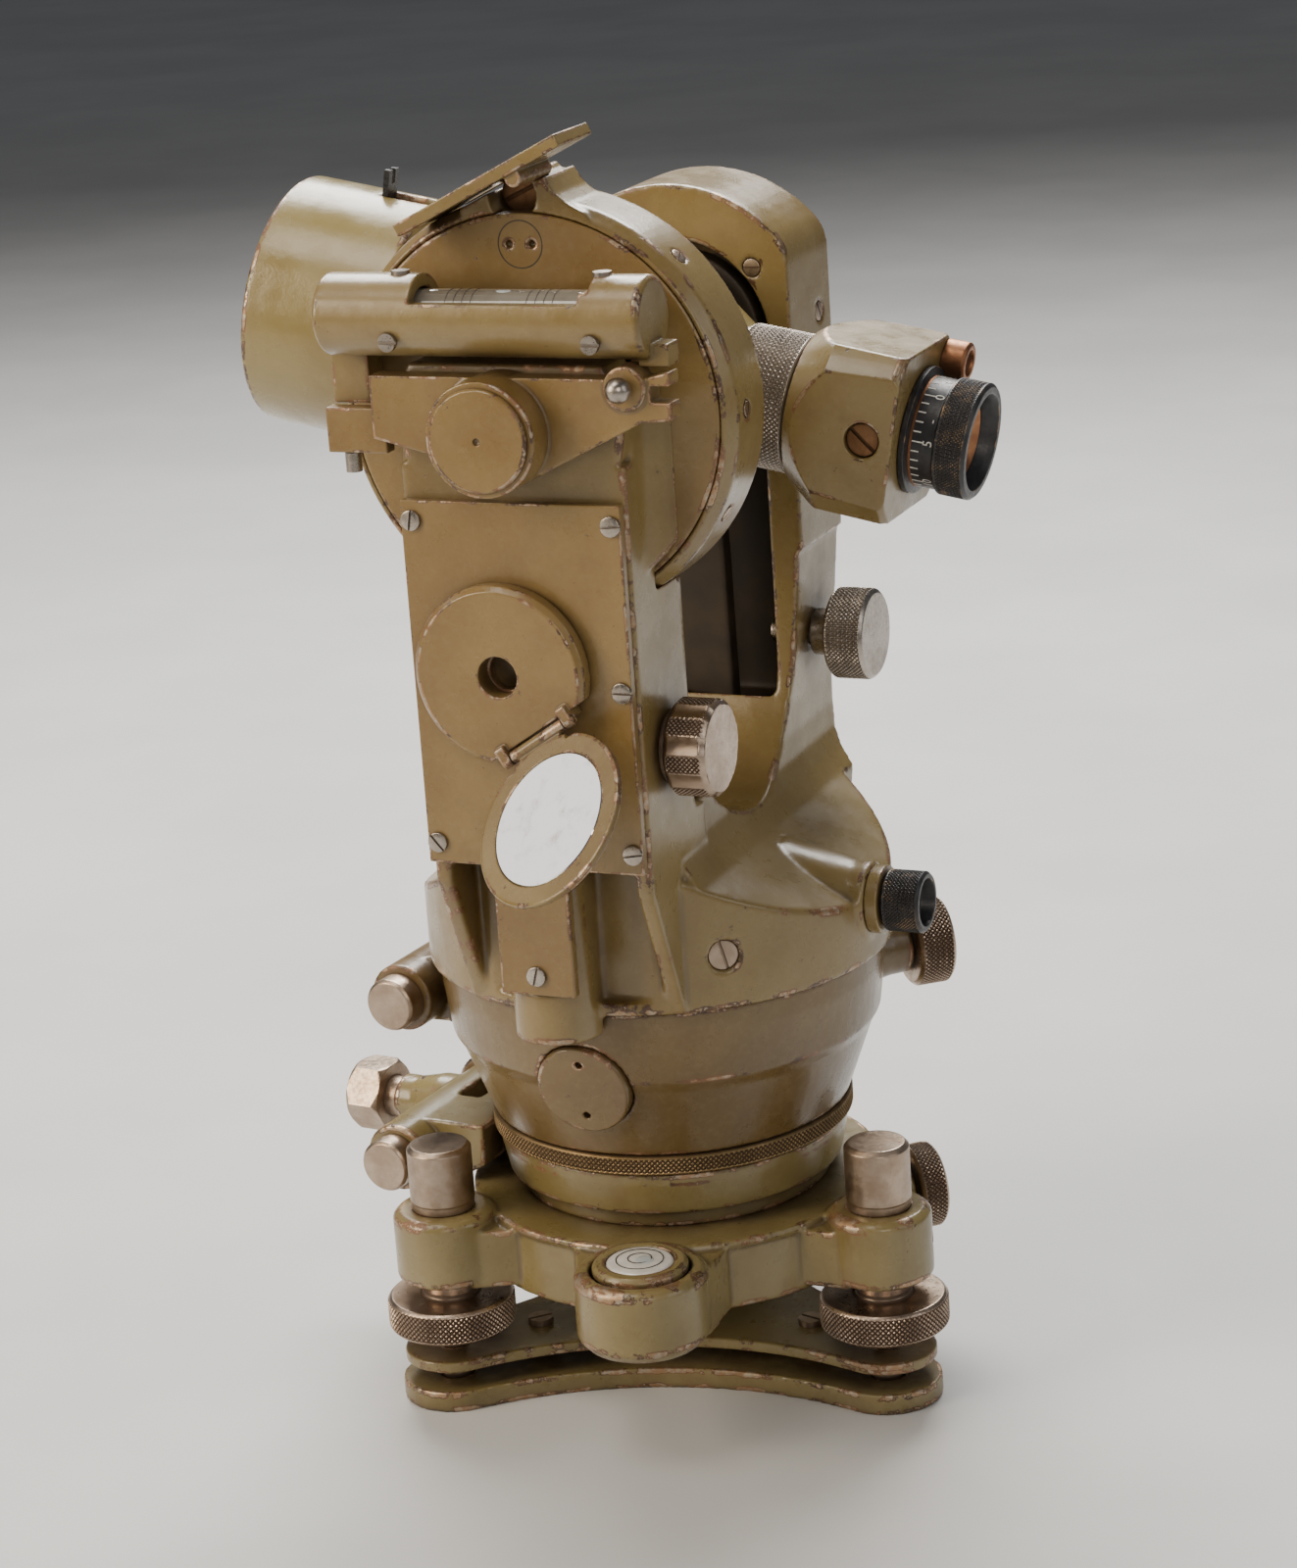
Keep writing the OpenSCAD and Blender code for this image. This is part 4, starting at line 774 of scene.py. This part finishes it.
# dioptre scale: white ticks and generic figures on the black ring
ticks = []
for k in range(-17, 18):
    ln = 2.6 if k % 5 == 0 else 1.8
    ticks.append(block("dioptre_tick_%d" % (k + 17), (12.38, -0.15, 2.3), (12.47, 0.15, 2.3 + ln), tele(71.9) @ RZ(-144 + 10.2 * k), "white_mark", "eyepiece_dioptre"))
join_meshes("dioptre_ticks", ticks)
for i, (txt, k) in enumerate((("10", 10), ("5", 5), ("-", 2.75), ("0", 0), ("+", -2.65), ("5", -5), ("10", -10))):
    wrap_text(txt, 3.0, 12.42, math.radians(-144 + 10.2 * k), 6.0, tele(71.9), "dioptre_figure_%d" % i, "eyepiece_dioptre")
lathe("dioptre_band", [(12.41, 1.65), (12.52, 1.7), (12.52, 2.2), (12.41, 2.25)], tele(71.9), "copper", "eyepiece_dioptre", (), n=96)

# ---------------------------------------------------------------- levels, mirrors, lenses
lx0, lx1 = -33.0, 29.0
lathe("level_vial_look", rounded([(0, 0), (5.0, 0), (5.55, 0.8), (5.55, 61.2), (5.0, 62), (0, 62)], 0.3), right_of(lx0, -64.4, 266.7), "vial", "level", ("level_vial",), n=64, step=3)
bub = []
for k in range(-4, 5):
    if k == 0:
        continue
    x = 2.5 + (1 if k > 0 else -1) * (6.5 + 2.0 * (abs(k) - 1))
    bub.append(lathe("vial_mark_%d" % (k + 4), [(5.56, -0.07), (5.60, -0.07), (5.60, 0.07), (5.56, 0.07)], right_of(x, -64.4, 266.7), "ink", "level", (), n=64))
join_meshes("vial_marks", bub)
me = bpy.data.meshes.new("vial_bubble")
bm = bmesh.new()
bmesh.ops.create_uvsphere(bm, u_segments=32, v_segments=20, radius=1.0)
bmesh.ops.transform(bm, matrix=T(2.5, -65.1, 270.1) @ Matrix.Diagonal((6.4 * MM, 2.3 * MM, 2.15 * MM, 1)), verts=bm.verts)
bm.to_mesh(me); bm.free(); smooth_all(me)
finish_piece(new_object("vial_bubble", me), "bubble", "level")

lathe("plug_outline", [(5.02, -0.02), (5.02, 0.03), (5.26, 0.03), (5.26, -0.02)], front(0, -50.3, TZ + 36.8), "ink", "alidade", (), n=72)
ML = RZ(LVL) @ T(61.4, 0, 42.8)
lathe("circular_level_vial_look", rounded([(0, 0), (7.9, 0), (7.9, 4.7), (7.4, 5.3), (4, 5.7), (0, 5.85)], 0.3), ML, "vial_white", "base", ("circular_level_vial",), n=96, step=0.8)
lathe("circular_level_ring_outer", [(5.30, 5.62), (5.55, 5.66), (5.55, 5.40)], ML, "ink", "base", (), n=96)
lathe("circular_level_ring_inner", [(2.60, 5.86), (2.85, 5.86), (2.85, 5.6)], ML, "ink", "base", (), n=64)
lathe("circular_level_bubble", dense([(0, 5.87), (1.5, 5.84), (2.0, 5.80), (2.15, 5.7)], 0.3), ML @ T(0.7, 1.2, 0.02), "bubble", "base", (), n=48)

keep("mirror_glass", "mirror")
keep("reader_mirror", "mirror")
keep("objective_lens", "lens")
keep("horizontal_circle", "glass")
keep("vertical_circle", "glass")
for nd in ("foot_bushes", "limb_sleeve", "focusing_lens"):
    keep(nd, "brass")
for nd in ("base_socket", "axis_spindle", "trunnion_axle", "lower_tangent_spring", "upper_tangent_spring"):
    keep(nd, "steel")
keep("base_screws", "steel")
keep("level_screws", "bright")
keep("sight", "black_scale")
